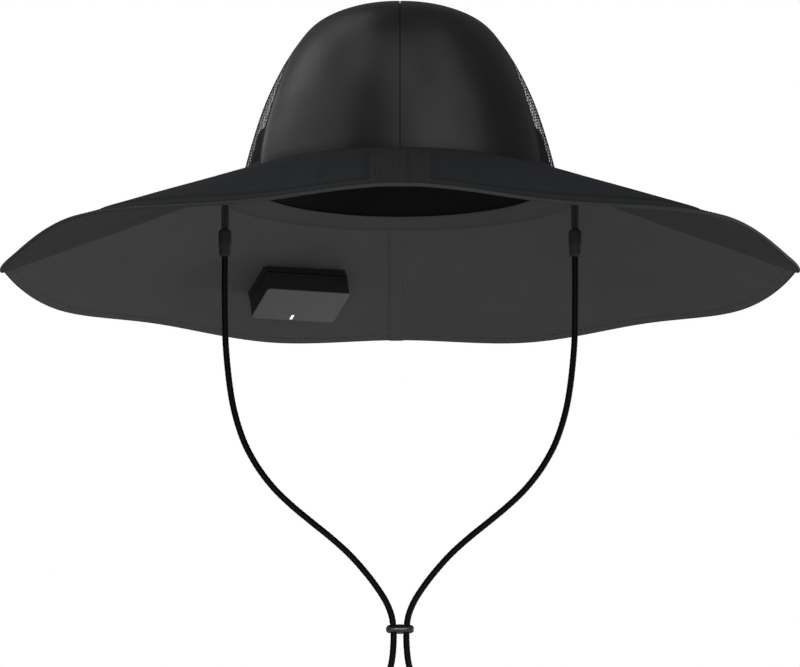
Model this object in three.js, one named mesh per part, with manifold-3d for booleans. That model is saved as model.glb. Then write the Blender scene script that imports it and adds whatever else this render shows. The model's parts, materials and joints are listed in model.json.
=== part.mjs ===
// A wide-brimmed sun hat with solar laminates on its brim, a power box under the brim and a chin cord.
// Millimetres, +Z up. The hat's front faces -Y and its left side, as seen from the front, is -X.
// The origin is the middle of the head opening, on the plane where the crown meets the brim.
import * as THREE from "three";
import { mergeVertices } from "three/addons/utils/BufferGeometryUtils.js";
import Module from "manifold-3d";

const wasm = await Module();
wasm.setup();

// Clearance between pieces that touch
const GAP = 0.3;

// Vertices closer than this are one, and a search by halving takes this many steps
const SAME_POINT = 1e-4;
const HALVINGS = 30;

// The brim: half widths (x) and half lengths (y) of its inner and outer ovals, and its upright thickness
const BRIM = { innerX: 83.3, innerY: 93.8, outerX: 213.7, outerY: 228.7, thickness: 1.5 };
const BRIM_STEP_DEGREES = 4;
const BRIM_ROWS = 2;

// Height of the brim's edge by angle from the front. It rises and falls in mm per degree before and after
// each row: ridges and valleys are level there, and the crease at the side is sharp.
const BRIM_FOLDS = [
  { angle: 0, height: -46.4, before: 0, after: 0 },
  { angle: 22, height: -52.1, before: 0, after: 0 },
  { angle: 50, height: -46.7, before: 0, after: 0 },
  { angle: 72, height: -54.2, before: 0, after: 0 },
  { angle: 93, height: -46.1, before: 0.9, after: 0 },
  { angle: 117, height: -51.2, before: 0, after: 0 },
  { angle: 139, height: -47.2, before: 0, after: 0 },
  { angle: 160, height: -51.4, before: 0, after: 0 },
  { angle: 180, height: -47.6, before: 0, after: 0 },
];

// The strips at the front and back stand proud of the brim, above and below, beyond the ring,
// the back one a little to the left of the centre line
const STRIP = { width: 9.4, frontMiddle: 0, backMiddle: -2.1 };
const STRIP_ROWS = [
  { share: 0, proud: 0 },
  { share: 0.11, proud: 0 },
  { share: 0.14, proud: 0.5 },
  { share: 0.55, proud: 0.5 },
  { share: 1, proud: 0.5 },
];
const BINDING = { width: 1, overlap: 0.1 };

// The crown's half width at heights above the brim, and its length for its width
const CROWN_PROFILE = [
  { height: 0.5, halfWidth: 85.4 },
  { height: 20, halfWidth: 80.3 },
  { height: 40, halfWidth: 73.9 },
  { height: 58, halfWidth: 65.9 },
  { height: 72, halfWidth: 57.7 },
  { height: 84, halfWidth: 47.3 },
  { height: 91.3, halfWidth: 33.2 },
  { height: 94.9, halfWidth: 17.4 },
  { height: 96.3, halfWidth: 0 },
];
const CROWN_LENGTH_FOR_WIDTH = 1.125;
const CROWN_CLOTH = 1.3;
const CROWN_MESH = 1.1;
const CROWN_ROWS = 11;
const CROWN_TIP_SHARE = 0.988;
const CROWN_SEAM_GAP = 0.37;

// The crown's seams: their angle from the front by share of the way up the profile. The seam between cloth
// and mesh leans back as it rises, most of all above the middle.
const CROWN_SEAMS = {
  front: [{ share: 0, angle: 0 }, { share: 1, angle: 0 }],
  side: [
    { share: 0, angle: 60.8 },
    { share: 0.12, angle: 63.9 },
    { share: 0.32, angle: 65.6 },
    { share: 0.44, angle: 70.4 },
    { share: 0.54, angle: 79 },
    { share: 0.7, angle: 86 },
    { share: 1, angle: 90 },
  ],
  rear: [{ share: 0, angle: 120 }, { share: 1, angle: 135 }],
  back: [{ share: 0, angle: 180 }, { share: 1, angle: 180 }],
};

// The six crown panels: the seams of each side's three, its columns, and what it is made of
const CROWN_PANELS = [
  { name: "crown_front", from: "front", to: "side", columns: 8, finish: "cloth", thickness: CROWN_CLOTH },
  { name: "crown_mesh_side", from: "side", to: "rear", columns: 6, finish: "mesh", thickness: CROWN_MESH },
  { name: "crown_mesh_back", from: "rear", to: "back", columns: 7, finish: "mesh", thickness: CROWN_MESH },
];

const SWEATBAND = { inset: 2.2, thickness: 1.8, bottom: -1.6, top: 24, rows: 3, step: 6 };
const RING = { innerX: 81.2, innerY: 91.2, outerX: 98, outerY: 105.5, thickness: 1.4, step: 6 };

// Solar laminates on each side of the brim, between its ridges
const SOLAR_PANELS = [
  { name: "solar_panel_front", from: 0, to: 54 },
  { name: "solar_panel_side_front", from: 54, to: 92 },
  { name: "solar_panel_side_back", from: 92, to: 143 },
  { name: "solar_panel_back", from: 143, to: 180 },
];
const SOLAR = { lift: 0.45, thickness: 0.9 };
const SOLAR_MARGINS = { fold: 5, centre: 15.5, crown: 19, edge: 18 };
const SOLAR_STEP_DEGREES = 5;

// The power box: its size round the brim, outwards and down. In plan, the middle of its base is at x, y, and
// it is turned from straight back by some degrees.
const BOX = { width: 49.7, depth: 33, height: 17, corner: 2.5, bevel: 0.8 };
const BOX_PLACE = { x: -58.6, y: 150, turn: 20, slope: 21 };
const BOX_SEAT = { gap: 0.4, steps: 10 };
const BOX_SOCKET = { width: 9.2, height: 3.4, corner: 1.6, depth: 7, spacing: 15, fromBase: 7.5 };
const BOX_LIGHT = { width: 1.8, length: 5, depth: 1.2, fromOuterEdge: 3.8, fromMiddle: -1.3, glass: 0.9 };

// Cord fittings: each hangs from the ring at this half spacing
const FITTING_X = 94.4;
const SLEEVE = { bottom: -26.2, radius: 2, flareRadius: 2.7, flareLength: 4, sides: 12 };
const BARREL_SIDES = 14;
const BARREL_PROFILE = [
  { radius: 0, z: -40.4 },
  { radius: 2.75, z: -40.4 },
  { radius: 3.15, z: -39.8 },
  { radius: 3.15, z: -35.2 },
  { radius: 3.5, z: -34.9 },
  { radius: 3.5, z: -27.7 },
  { radius: 2.3, z: -26.5 },
  { radius: 0, z: -26.5 },
];

// The slider, a bead lying along x, with a hole for each side of the cord
const SLIDER = { z: -242.6, halfWidth: 7.5, depthForHeight: 1.45, holeX: 3.5, holeRadius: 2.2, sides: 12 };
const SLIDER_PROFILE = [
  { x: -7.5, radius: 0 },
  { x: -7, radius: 1.7 },
  { x: -3.75, radius: 2.4 },
  { x: 0, radius: 2.7 },
  { x: 3.75, radius: 2.4 },
  { x: 7, radius: 1.7 },
  { x: 7.5, radius: 0 },
];

// The cord and its route from the left barrel to the bottom of its loop. The other half mirrors it.
const CORD = { diameter: 3.5, sides: 8, steps: 80 };
const CORD_ROUTE = [
  { x: -94.4, z: -40.7 },
  { x: -94.3, z: -64 },
  { x: -93.6, z: -90 },
  { x: -90.7, z: -116 },
  { x: -87.9, z: -129 },
  { x: -83.5, z: -142 },
  { x: -79.2, z: -150.6 },
  { x: -73.7, z: -159.2 },
  { x: -66.7, z: -167.8 },
  { x: -57.8, z: -176.4 },
  { x: -47.5, z: -185 },
  { x: -36.9, z: -193.6 },
  { x: -27.4, z: -202.2 },
  { x: -19.6, z: -210.8 },
  { x: -12.9, z: -219.4 },
  { x: -7.5, z: -227.9 },
  { x: -4.5, z: -235.5 },
  { x: -3.5, z: -242.6 },
  { x: -3.5, z: -251 },
  { x: -4.6, z: -261 },
  { x: -7.8, z: -272 },
  { x: -10.2, z: -283 },
  { x: -7.6, z: -293 },
  { x: 0, z: -297.5 },
];

const FINISHES = {
  cloth: { color: 0x37383a, roughness: 0.6, metalness: 0 },
  mesh: { color: 0x1b1c1d, roughness: 0.8, metalness: 0 },
  lining: { color: 0x1a1a1b, roughness: 0.9, metalness: 0 },
  solar: { color: 0x1d2230, roughness: 0.35, metalness: 0 },
  plastic: { color: 0x2c2d2e, roughness: 0.5, metalness: 0 },
  light: { color: 0xf4f6f8, roughness: 0.4, metalness: 0 },
  cord: { color: 0x101011, roughness: 0.85, metalness: 0 },
};

const radians = THREE.MathUtils.degToRad;
const lerp = THREE.MathUtils.lerp;
const hat = new THREE.Group();

function addPiece(name, geometry, finish) {
  const mesh = new THREE.Mesh(geometry, new THREE.MeshStandardMaterial(FINISHES[finish]));
  mesh.name = name;
  hat.add(mesh);
  return mesh;
}

// Closed geometry from points and triangles, turned so that its faces point out
function closedGeometry(points, triangles) {
  let sixVolumes = 0;
  for (const [a, b, c] of triangles) {
    sixVolumes += points[a].dot(new THREE.Vector3().crossVectors(points[b], points[c]));
  }
  const facing = sixVolumes < 0 ? triangles.map(([a, b, c]) => [a, c, b]) : triangles;
  const geometry = new THREE.BufferGeometry();
  geometry.setAttribute("position", new THREE.Float32BufferAttribute(points.flatMap((p) => p.toArray()), 3));
  geometry.setIndex(facing.flat());
  return geometry;
}

// A wall between two grids of points, skin[row][column] and back[row][column], closed along its edges.
// A ring's columns meet round the back, so it has walls along its first and last row only.
function wallGeometry(skin, back, isRing = false) {
  const rows = skin.length;
  const columns = skin[0].length;
  const points = [...skin.flat(), ...back.flat()];
  const triangles = [];
  const quad = (a, b, c, d) => triangles.push([a, b, c], [a, c, d]);
  const skinAt = (row, column) => row * columns + (column % columns);
  const backAt = (row, column) => rows * columns + skinAt(row, column);
  const lastColumn = isRing ? columns : columns - 1;
  for (let row = 0; row < rows - 1; row++) {
    for (let column = 0; column < lastColumn; column++) {
      const corners = [[row, column], [row, column + 1], [row + 1, column + 1], [row + 1, column]];
      quad(...corners.map((at) => skinAt(...at)));
      quad(...corners.map((at) => backAt(...at)).reverse());
    }
  }
  for (let column = 0; column < lastColumn; column++) {
    quad(backAt(0, column), backAt(0, column + 1), skinAt(0, column + 1), skinAt(0, column));
    const top = rows - 1;
    quad(skinAt(top, column), skinAt(top, column + 1), backAt(top, column + 1), backAt(top, column));
  }
  for (let row = 0; row < rows - 1 && !isRing; row++) {
    const end = columns - 1;
    quad(skinAt(row, 0), skinAt(row + 1, 0), backAt(row + 1, 0), backAt(row, 0));
    quad(backAt(row, end), backAt(row + 1, end), skinAt(row + 1, end), skinAt(row, end));
  }
  return closedGeometry(points, triangles);
}

function mirrored(grid) {
  return grid.map((row) => row.map((p) => new THREE.Vector3(-p.x, p.y, p.z)));
}

// A wall on the right side of the hat and its mirror image on the left
function addPair(name, skin, back, finish) {
  addPiece(`${name}_right`, wallGeometry(skin, back), finish);
  addPiece(`${name}_left`, wallGeometry(mirrored(skin), mirrored(back)), finish);
}

function lowered(grid, distance) {
  return grid.map((row) => row.map((p) => new THREE.Vector3(p.x, p.y, p.z - distance)));
}

function solidFrom(geometry) {
  const bare = geometry.clone();
  bare.deleteAttribute("normal");
  bare.deleteAttribute("uv");
  const merged = mergeVertices(bare, SAME_POINT);
  const vertProperties = new Float32Array(merged.attributes.position.array);
  const triVerts = new Uint32Array(merged.index.array);
  return new wasm.Manifold(new wasm.Mesh({ numProp: 3, vertProperties, triVerts }));
}

function geometryFrom(solid) {
  const mesh = solid.getMesh();
  const geometry = new THREE.BufferGeometry();
  geometry.setAttribute("position", new THREE.Float32BufferAttribute(mesh.vertProperties, 3));
  geometry.setIndex(new THREE.Uint32BufferAttribute(mesh.triVerts, 1));
  return geometry;
}

// Angles from one to another in equal steps of about the size asked for
function angleSteps(from, to, size) {
  const count = Math.max(1, Math.round((to - from) / size));
  return Array.from({ length: count + 1 }, (_, i) => lerp(from, to, i / count));
}

function shares(rows) {
  return Array.from({ length: rows + 1 }, (_, i) => i / rows);
}

// The share from 0 to 1 at which a test stops being true, found by halving
function shareWhere(isBefore) {
  let [low, high] = [0, 1];
  for (let i = 0; i < HALVINGS; i++) {
    const middle = (low + high) / 2;
    if (isBefore(middle)) low = middle;
    else high = middle;
  }
  return low;
}

// Height of the brim's edge at an angle from the front, in degrees either way
function edgeHeight(angle) {
  const at = Math.min(180, Math.abs(angle));
  const next = Math.max(1, BRIM_FOLDS.findIndex((fold) => fold.angle >= at));
  const [low, high] = [BRIM_FOLDS[next - 1], BRIM_FOLDS[next]];
  const span = high.angle - low.angle;
  const t = (at - low.angle) / span;
  const ease = t * t * (3 - 2 * t);
  const rise = low.after * span * t * (1 - t) ** 2 - high.before * span * t * t * (1 - t);
  return lerp(low.height, high.height, ease) + rise;
}

// The brim's top at an angle from the front and a share of the way out from its inner oval
function brimPoint(angle, share) {
  const x = lerp(BRIM.innerX, BRIM.outerX, share) * Math.sin(radians(angle));
  const y = -lerp(BRIM.innerY, BRIM.outerY, share) * Math.cos(radians(angle));
  return new THREE.Vector3(x, y, edgeHeight(angle) * share);
}

// The brim's top over a place in plan, level inside its inner oval
function brimHeight(x, y) {
  const halfWidth = (share) => lerp(BRIM.innerX, BRIM.outerX, share);
  const halfLength = (share) => lerp(BRIM.innerY, BRIM.outerY, share);
  const share = shareWhere((part) => Math.hypot(x / halfWidth(part), y / halfLength(part)) > 1);
  const angle = Math.atan2(x / halfWidth(share), -y / halfLength(share));
  return edgeHeight(THREE.MathUtils.radToDeg(angle)) * share;
}

// The angle, in degrees, at which the oval at a share of the way out is a distance from the centre line
function angleAtDistance(distance, share) {
  return THREE.MathUtils.radToDeg(Math.asin(distance / lerp(BRIM.innerX, BRIM.outerX, share)));
}

// A cloth half of the brim, whose ends stop beside the strips
function addBrimHalf(name, side) {
  const columns = angleSteps(0, 180, BRIM_STEP_DEGREES);
  const beside = (middle) => STRIP.width / 2 + GAP + side * middle;
  const skin = shares(BRIM_ROWS).map((share) => {
    const start = angleAtDistance(beside(STRIP.frontMiddle), share);
    const end = 180 - angleAtDistance(beside(STRIP.backMiddle), share);
    return columns.map((angle) => {
      const p = brimPoint(THREE.MathUtils.clamp(angle, start, end), share);
      return p.setX(side * p.x);
    });
  });
  addPiece(name, wallGeometry(skin, lowered(skin, BRIM.thickness)), "cloth");
}

function addStrip(name, side, middle) {
  const face = (height) =>
    STRIP_ROWS.map(({ share, proud }) => {
      const y = side * lerp(BRIM.innerY, BRIM.outerY, share);
      return [-1, 0, 1].map((across) => {
        const x = middle + (across * STRIP.width) / 2;
        return new THREE.Vector3(x, y, brimHeight(x, y) + height(proud));
      });
    });
  const top = face((proud) => proud);
  const bottom = face((proud) => -BRIM.thickness - proud);
  addPiece(name, wallGeometry(top, bottom), "cloth");
}

// The binding stands just outside the edge, along the edge oval's own normal
function addBinding() {
  const around = angleSteps(0, 360, BRIM_STEP_DEGREES).slice(0, -1);
  const edge = around.map((turn) => brimPoint(turn > 180 ? turn - 360 : turn, 1));
  const shifted = (outwards) =>
    edge.map((p) => {
      const normal = new THREE.Vector3(p.x / BRIM.outerX ** 2, p.y / BRIM.outerY ** 2, 0).normalize();
      return p.clone().addScaledVector(normal, outwards).setZ(p.z + BINDING.overlap);
    });
  const skin = [shifted(GAP), shifted(GAP + BINDING.width)];
  const height = BRIM.thickness + 2 * BINDING.overlap;
  addPiece("brim_binding", wallGeometry(skin, lowered(skin, height), true), "cloth");
}

const crownPoints = CROWN_PROFILE.map((row) => new THREE.Vector2(row.halfWidth, row.height));
const crownProfile = new THREE.SplineCurve(crownPoints);

function crownPoint(angle, share) {
  const { x: halfWidth, y: height } = crownProfile.getPointAt(share);
  const x = halfWidth * Math.sin(radians(angle));
  const y = -halfWidth * CROWN_LENGTH_FOR_WIDTH * Math.cos(radians(angle));
  return new THREE.Vector3(x, y, height);
}

// The crown's outward normal, from two short steps across and along its skin
function crownNormal(angle, share) {
  const step = 0.004;
  const from = Math.min(share, 1 - step);
  const around = crownPoint(angle + step, from).sub(crownPoint(angle - step, from));
  const upwards = crownPoint(angle, from + step).sub(crownPoint(angle, Math.max(0, from - step)));
  return new THREE.Vector3().crossVectors(around, upwards).normalize();
}

function seamAngle(name, share) {
  const seam = new THREE.SplineCurve(CROWN_SEAMS[name].map((row) => new THREE.Vector2(row.share, row.angle)));
  return seam.getPoint(shareWhere((part) => seam.getPoint(part).x < share)).y;
}

// A crown panel is a shell between two seams, with half a gap left at each and its tip cut short
function addCrownPanel({ name, from, to, columns, finish, thickness }) {
  const skin = [];
  const back = [];
  for (const row of shares(CROWN_ROWS)) {
    const share = row * CROWN_TIP_SHARE;
    const inset = THREE.MathUtils.radToDeg(CROWN_SEAM_GAP / 2 / crownProfile.getPointAt(share).x);
    const start = seamAngle(from, share) + inset;
    const end = seamAngle(to, share) - inset;
    const across = shares(columns).map((part) => lerp(start, end, part));
    const outer = across.map((angle) => crownPoint(angle, share));
    skin.push(outer);
    back.push(outer.map((p, i) => p.clone().addScaledVector(crownNormal(across[i], share), -thickness)));
  }
  addPair(name, skin, back, finish);
}

// The crown's half width at a height, found along its profile
function crownHalfWidth(height) {
  return crownProfile.getPoint(shareWhere((share) => crownProfile.getPoint(share).y < height)).x;
}

function addSweatband() {
  const around = angleSteps(0, 360, SWEATBAND.step).slice(0, -1);
  const grid = (inset) =>
    shares(SWEATBAND.rows).map((share) => {
      const height = lerp(SWEATBAND.bottom, SWEATBAND.top, share);
      const halfWidth = crownHalfWidth(height) - inset;
      return around.map((turn) => {
        const x = halfWidth * Math.sin(radians(turn));
        const y = -halfWidth * CROWN_LENGTH_FOR_WIDTH * Math.cos(radians(turn));
        return new THREE.Vector3(x, y, height);
      });
    });
  const band = wallGeometry(grid(SWEATBAND.inset), grid(SWEATBAND.inset + SWEATBAND.thickness), true);
  addPiece("sweatband", band, "lining");
}

// The ring's top lies a gap under the brim
function ringTop(x, y) {
  return brimHeight(x, y) - BRIM.thickness - GAP;
}

function addRing() {
  const around = angleSteps(0, 360, RING.step).slice(0, -1);
  const ovals = [
    { x: RING.innerX, y: RING.innerY },
    { x: BRIM.innerX, y: BRIM.innerY },
    { x: RING.outerX, y: RING.outerY },
  ];
  const skin = ovals.map((oval) =>
    around.map((turn) => {
      const x = oval.x * Math.sin(radians(turn));
      const y = -oval.y * Math.cos(radians(turn));
      return new THREE.Vector3(x, y, ringTop(x, y));
    }),
  );
  addPiece("under_brim_ring", wallGeometry(skin, lowered(skin, RING.thickness), true), "cloth");
}

// A laminate keeps its margins from the ridges, the centre strips, the crown and the edge
function addSolarPanel({ name, from, to }) {
  const reach = BRIM.outerX - BRIM.innerX;
  const [inner, outer] = [SOLAR_MARGINS.crown / reach, 1 - SOLAR_MARGINS.edge / reach];
  const columns = angleSteps(0, 1, SOLAR_STEP_DEGREES / (to - from));
  const skin = shares(BRIM_ROWS).map((row) => {
    const share = lerp(inner, outer, row);
    const startMargin = from === 0 ? SOLAR_MARGINS.centre : SOLAR_MARGINS.fold;
    const endMargin = to === 180 ? SOLAR_MARGINS.centre : SOLAR_MARGINS.fold;
    const start = from + angleAtDistance(startMargin, share);
    const end = to - angleAtDistance(endMargin, share);
    return columns.map((part) => {
      const p = brimPoint(lerp(start, end, part), share);
      return p.setZ(p.z + SOLAR.lift + SOLAR.thickness);
    });
  });
  addPair(name, skin, lowered(skin, SOLAR.thickness), "solar");
}

function roundedRectangle(width, height, radius) {
  const [x, y] = [width / 2, height / 2];
  const shape = new THREE.Shape();
  shape.moveTo(-x + radius, -y);
  shape.absarc(x - radius, -y + radius, radius, -Math.PI / 2, 0);
  shape.absarc(x - radius, y - radius, radius, 0, Math.PI / 2);
  shape.absarc(-x + radius, y - radius, radius, Math.PI / 2, Math.PI);
  shape.absarc(-x + radius, -y + radius, radius, Math.PI, 1.5 * Math.PI);
  return shape;
}

// The box's own frame: x runs round the brim towards the back centre, y outwards down the slope,
// and z up out of the cloth, from the middle of its base on the brim's underside
function boxFrame() {
  const turn = radians(BOX_PLACE.turn);
  const outwards = new THREE.Vector3(-Math.sin(turn), Math.cos(turn), 0);
  const along = new THREE.Vector3(outwards.y, -outwards.x, 0);
  const slope = radians(BOX_PLACE.slope);
  const down = outwards.multiplyScalar(Math.cos(slope)).setZ(-Math.sin(slope));
  const up = new THREE.Vector3().crossVectors(along, down);
  const underside = brimHeight(BOX_PLACE.x, BOX_PLACE.y) - BRIM.thickness;
  const base = new THREE.Vector3(BOX_PLACE.x, BOX_PLACE.y, underside);
  return new THREE.Matrix4().makeBasis(along, down, up).setPosition(base);
}

// What the brim fills over the box, with the gap below it
function brimCutter() {
  const reach = BOX.width;
  const steps = shares(BOX_SEAT.steps);
  const skin = steps.map((row) =>
    steps.map((column) => {
      const x = BOX_PLACE.x + (column * 2 - 1) * reach;
      const y = BOX_PLACE.y + (row * 2 - 1) * reach;
      return new THREE.Vector3(x, y, brimHeight(x, y) - BRIM.thickness - BOX_SEAT.gap);
    }),
  );
  return solidFrom(wallGeometry(skin, lowered(skin, -BOX.height)));
}

function addPowerBox() {
  const frame = boxFrame();
  const placed = (geometry, x, y, z) => solidFrom(geometry.translate(x, y, z).applyMatrix4(frame));
  const bevels = 2 * BOX.bevel;
  const outline = roundedRectangle(BOX.width - bevels, BOX.depth - bevels, BOX.corner - BOX.bevel);
  const body = new THREE.ExtrudeGeometry(outline, {
    depth: BOX.height,
    bevelThickness: BOX.bevel,
    bevelSize: BOX.bevel,
    bevelSegments: 2,
    curveSegments: 3,
  });
  let housing = placed(body, 0, 0, BOX.bevel - BOX.height).subtract(brimCutter());
  for (const side of [-1, 1]) {
    const mouth = roundedRectangle(BOX_SOCKET.width, BOX_SOCKET.height, BOX_SOCKET.corner);
    const through = { depth: 2 * BOX_SOCKET.depth, bevelEnabled: false, curveSegments: 3 };
    const socket = new THREE.ExtrudeGeometry(mouth, through);
    socket.rotateX(-Math.PI / 2);
    const x = (side * BOX_SOCKET.spacing) / 2;
    housing = housing.subtract(placed(socket, x, BOX.depth / 2 - BOX_SOCKET.depth, -BOX_SOCKET.fromBase));
  }
  const lightY = BOX.depth / 2 - BOX_LIGHT.fromOuterEdge;
  const slot = new THREE.BoxGeometry(BOX_LIGHT.width, BOX_LIGHT.length, 2 * BOX_LIGHT.depth);
  housing = housing.subtract(placed(slot, BOX_LIGHT.fromMiddle, lightY, -BOX.height));
  addPiece("power_box_housing", geometryFrom(housing), "plastic");
  const inSlot = 2 * GAP;
  const glass = new THREE.BoxGeometry(BOX_LIGHT.width - inSlot, BOX_LIGHT.length - inSlot, BOX_LIGHT.glass);
  glass.translate(BOX_LIGHT.fromMiddle, lightY, -BOX.height + BOX_LIGHT.depth - GAP - BOX_LIGHT.glass / 2);
  addPiece("power_box_light", glass.applyMatrix4(frame), "light");
}

function turned(profile, sides) {
  const points = profile.map((row) => new THREE.Vector2(row.radius, row.z));
  return new THREE.LatheGeometry(points, sides).rotateX(Math.PI / 2);
}

function addCordFittings(name, side) {
  const x = side * FITTING_X;
  const outside = FITTING_X + SLEEVE.flareRadius;
  const sleeveTop = ringTop(outside, 0) - RING.thickness - GAP;
  const sleeveProfile = [
    { radius: 0, z: SLEEVE.bottom },
    { radius: SLEEVE.radius, z: SLEEVE.bottom },
    { radius: SLEEVE.radius, z: sleeveTop - SLEEVE.flareLength },
    { radius: SLEEVE.flareRadius, z: sleeveTop },
    { radius: 0, z: sleeveTop },
  ];
  addPiece(`cord_sleeve_${name}`, turned(sleeveProfile, SLEEVE.sides).translate(x, 0, 0), "plastic");
  addPiece(`cord_barrel_${name}`, turned(BARREL_PROFILE, BARREL_SIDES).translate(x, 0, 0), "plastic");
}

function addCord() {
  const left = CORD_ROUTE.map((row) => new THREE.Vector3(row.x, 0, row.z));
  const right = left.slice(0, -1).reverse().map((p) => new THREE.Vector3(-p.x, 0, p.z));
  const route = new THREE.CatmullRomCurve3([...left, ...right], false, "centripetal");
  const section = new THREE.Shape();
  for (let i = 0; i < CORD.sides; i++) {
    const turn = ((i + 0.5) * 2 * Math.PI) / CORD.sides;
    const corner = [(Math.cos(turn) * CORD.diameter) / 2, (Math.sin(turn) * CORD.diameter) / 2];
    if (i === 0) section.moveTo(...corner);
    else section.lineTo(...corner);
  }
  const tube = new THREE.ExtrudeGeometry(section, { steps: CORD.steps, extrudePath: route });
  addPiece("chin_cord", tube, "cord");
}

function addSlider() {
  const outline = SLIDER_PROFILE.map((row) => new THREE.Vector2(row.radius, row.x));
  const bead = new THREE.LatheGeometry(outline, SLIDER.sides).rotateZ(Math.PI / 2);
  bead.scale(1, SLIDER.depthForHeight, 1).translate(0, 0, SLIDER.z);
  let slider = solidFrom(bead);
  for (const side of [-1, 1]) {
    const through = 2 * SLIDER.halfWidth;
    const hole = new THREE.CylinderGeometry(SLIDER.holeRadius, SLIDER.holeRadius, through, SLIDER.sides);
    hole.rotateX(Math.PI / 2).translate(side * SLIDER.holeX, 0, SLIDER.z);
    slider = slider.subtract(solidFrom(hole));
  }
  addPiece("cord_slider", geometryFrom(slider), "plastic");
}

addBrimHalf("brim_right", 1);
addBrimHalf("brim_left", -1);
addStrip("brim_strip_front", -1, STRIP.frontMiddle);
addStrip("brim_strip_back", 1, STRIP.backMiddle);
addBinding();
CROWN_PANELS.forEach(addCrownPanel);
addSweatband();
addRing();
SOLAR_PANELS.forEach(addSolarPanel);
addPowerBox();
addCordFittings("left", -1);
addCordFittings("right", 1);
addCord();
addSlider();

export default hat;
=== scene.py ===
"""The looks of a wide-brimmed sun hat, built around its solid frame.

It has a mesh-sided crown, a folded brim with solar laminates, a power box under the brim and a chin cord.
Sizes in the classes are millimetres, as a maker would measure them, and every mesh is in metres, +Z up.
The hat's front faces -Y, and the origin is the middle of the head opening.
"""

from __future__ import annotations

import json
import logging
import math
from collections.abc import Callable, Iterable, Sequence
from dataclasses import dataclass, field, replace
from enum import Enum

import bmesh
import bpy
import numpy as np
from mathutils import Matrix, Vector, noise

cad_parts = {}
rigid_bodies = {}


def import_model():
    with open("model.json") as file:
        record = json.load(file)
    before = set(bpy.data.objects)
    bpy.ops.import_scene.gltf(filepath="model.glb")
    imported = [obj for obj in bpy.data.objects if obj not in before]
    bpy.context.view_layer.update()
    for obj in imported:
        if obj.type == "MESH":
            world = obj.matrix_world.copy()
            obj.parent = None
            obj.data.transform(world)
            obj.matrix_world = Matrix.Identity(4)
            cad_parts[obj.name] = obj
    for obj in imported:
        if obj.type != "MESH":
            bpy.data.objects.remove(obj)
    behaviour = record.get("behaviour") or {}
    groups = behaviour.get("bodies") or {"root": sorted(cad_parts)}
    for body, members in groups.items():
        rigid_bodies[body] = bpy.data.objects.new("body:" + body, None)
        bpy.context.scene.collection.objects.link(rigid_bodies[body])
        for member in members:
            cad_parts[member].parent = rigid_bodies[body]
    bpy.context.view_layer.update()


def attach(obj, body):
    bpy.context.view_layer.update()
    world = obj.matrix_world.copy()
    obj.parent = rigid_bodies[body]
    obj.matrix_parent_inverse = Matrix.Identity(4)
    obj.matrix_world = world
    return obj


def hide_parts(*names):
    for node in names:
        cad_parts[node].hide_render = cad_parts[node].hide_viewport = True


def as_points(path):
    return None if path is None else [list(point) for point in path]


LOG = logging.getLogger("sun_hat")
MM = 0.001
BODY = "root"
# Points nearer than this are merged where edges meet
MERGE = 0.01 * MM
# How deep a bump of full strength is
BUMP_DEPTH = 0.1 * MM
# A wave texture of this scale has one band for each unit of its coordinates
ONE_BAND = math.pi / 10
Object = bpy.types.Object
Surface = Callable[[float, float], Vector]


class Side(Enum):
    """A side of the hat, by its sign along X, as seen from the front."""

    LEFT = -1
    RIGHT = 1

    @property
    def label(self) -> str:
        """The side's name in a piece's name."""
        return self.name.lower()


class Pick(Enum):
    """What an edit selects."""

    EDGE = "EDGE"
    FACE = "FACE"


def linear(code: str) -> tuple[float, float, float, float]:
    """Turns an sRGB hex colour into a linear one.

    Args:
        code: six hex digits.

    Returns:
        Red, green, blue and an alpha of one.
    """
    parts = [int(code[i : i + 2], 16) / 255 for i in (0, 2, 4)]
    red, green, blue = (p / 12.92 if p <= 0.04045 else ((p + 0.055) / 1.055) ** 2.4 for p in parts)
    return red, green, blue, 1.0


def add_node(
    tree: bpy.types.NodeTree, kind: str, inputs: dict | None = None, **settings
) -> bpy.types.Node:
    """Adds a shader node with its settings and its inputs.

    Args:
        tree: the material's or world's node tree.
        kind: the node's type name.
        inputs: values or output sockets by input name or number; a socket is linked.
        settings: the node's own properties.

    Returns:
        The node.
    """
    node = tree.nodes.new(kind)
    for key, value in settings.items():
        setattr(node, key, value)
    for key, value in (inputs or {}).items():
        if isinstance(value, bpy.types.NodeSocket):
            tree.links.new(value, node.inputs[key])
        else:
            node.inputs[key].default_value = value
    return node


def new_material(name: str) -> tuple[bpy.types.Material, bpy.types.NodeTree]:
    """Makes an empty node material.

    Args:
        name: what the material is called.

    Returns:
        The material and its cleared node tree.
    """
    material = bpy.data.materials.new(name)
    material.use_nodes = True
    material.node_tree.nodes.clear()
    return material, material.node_tree


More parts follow.
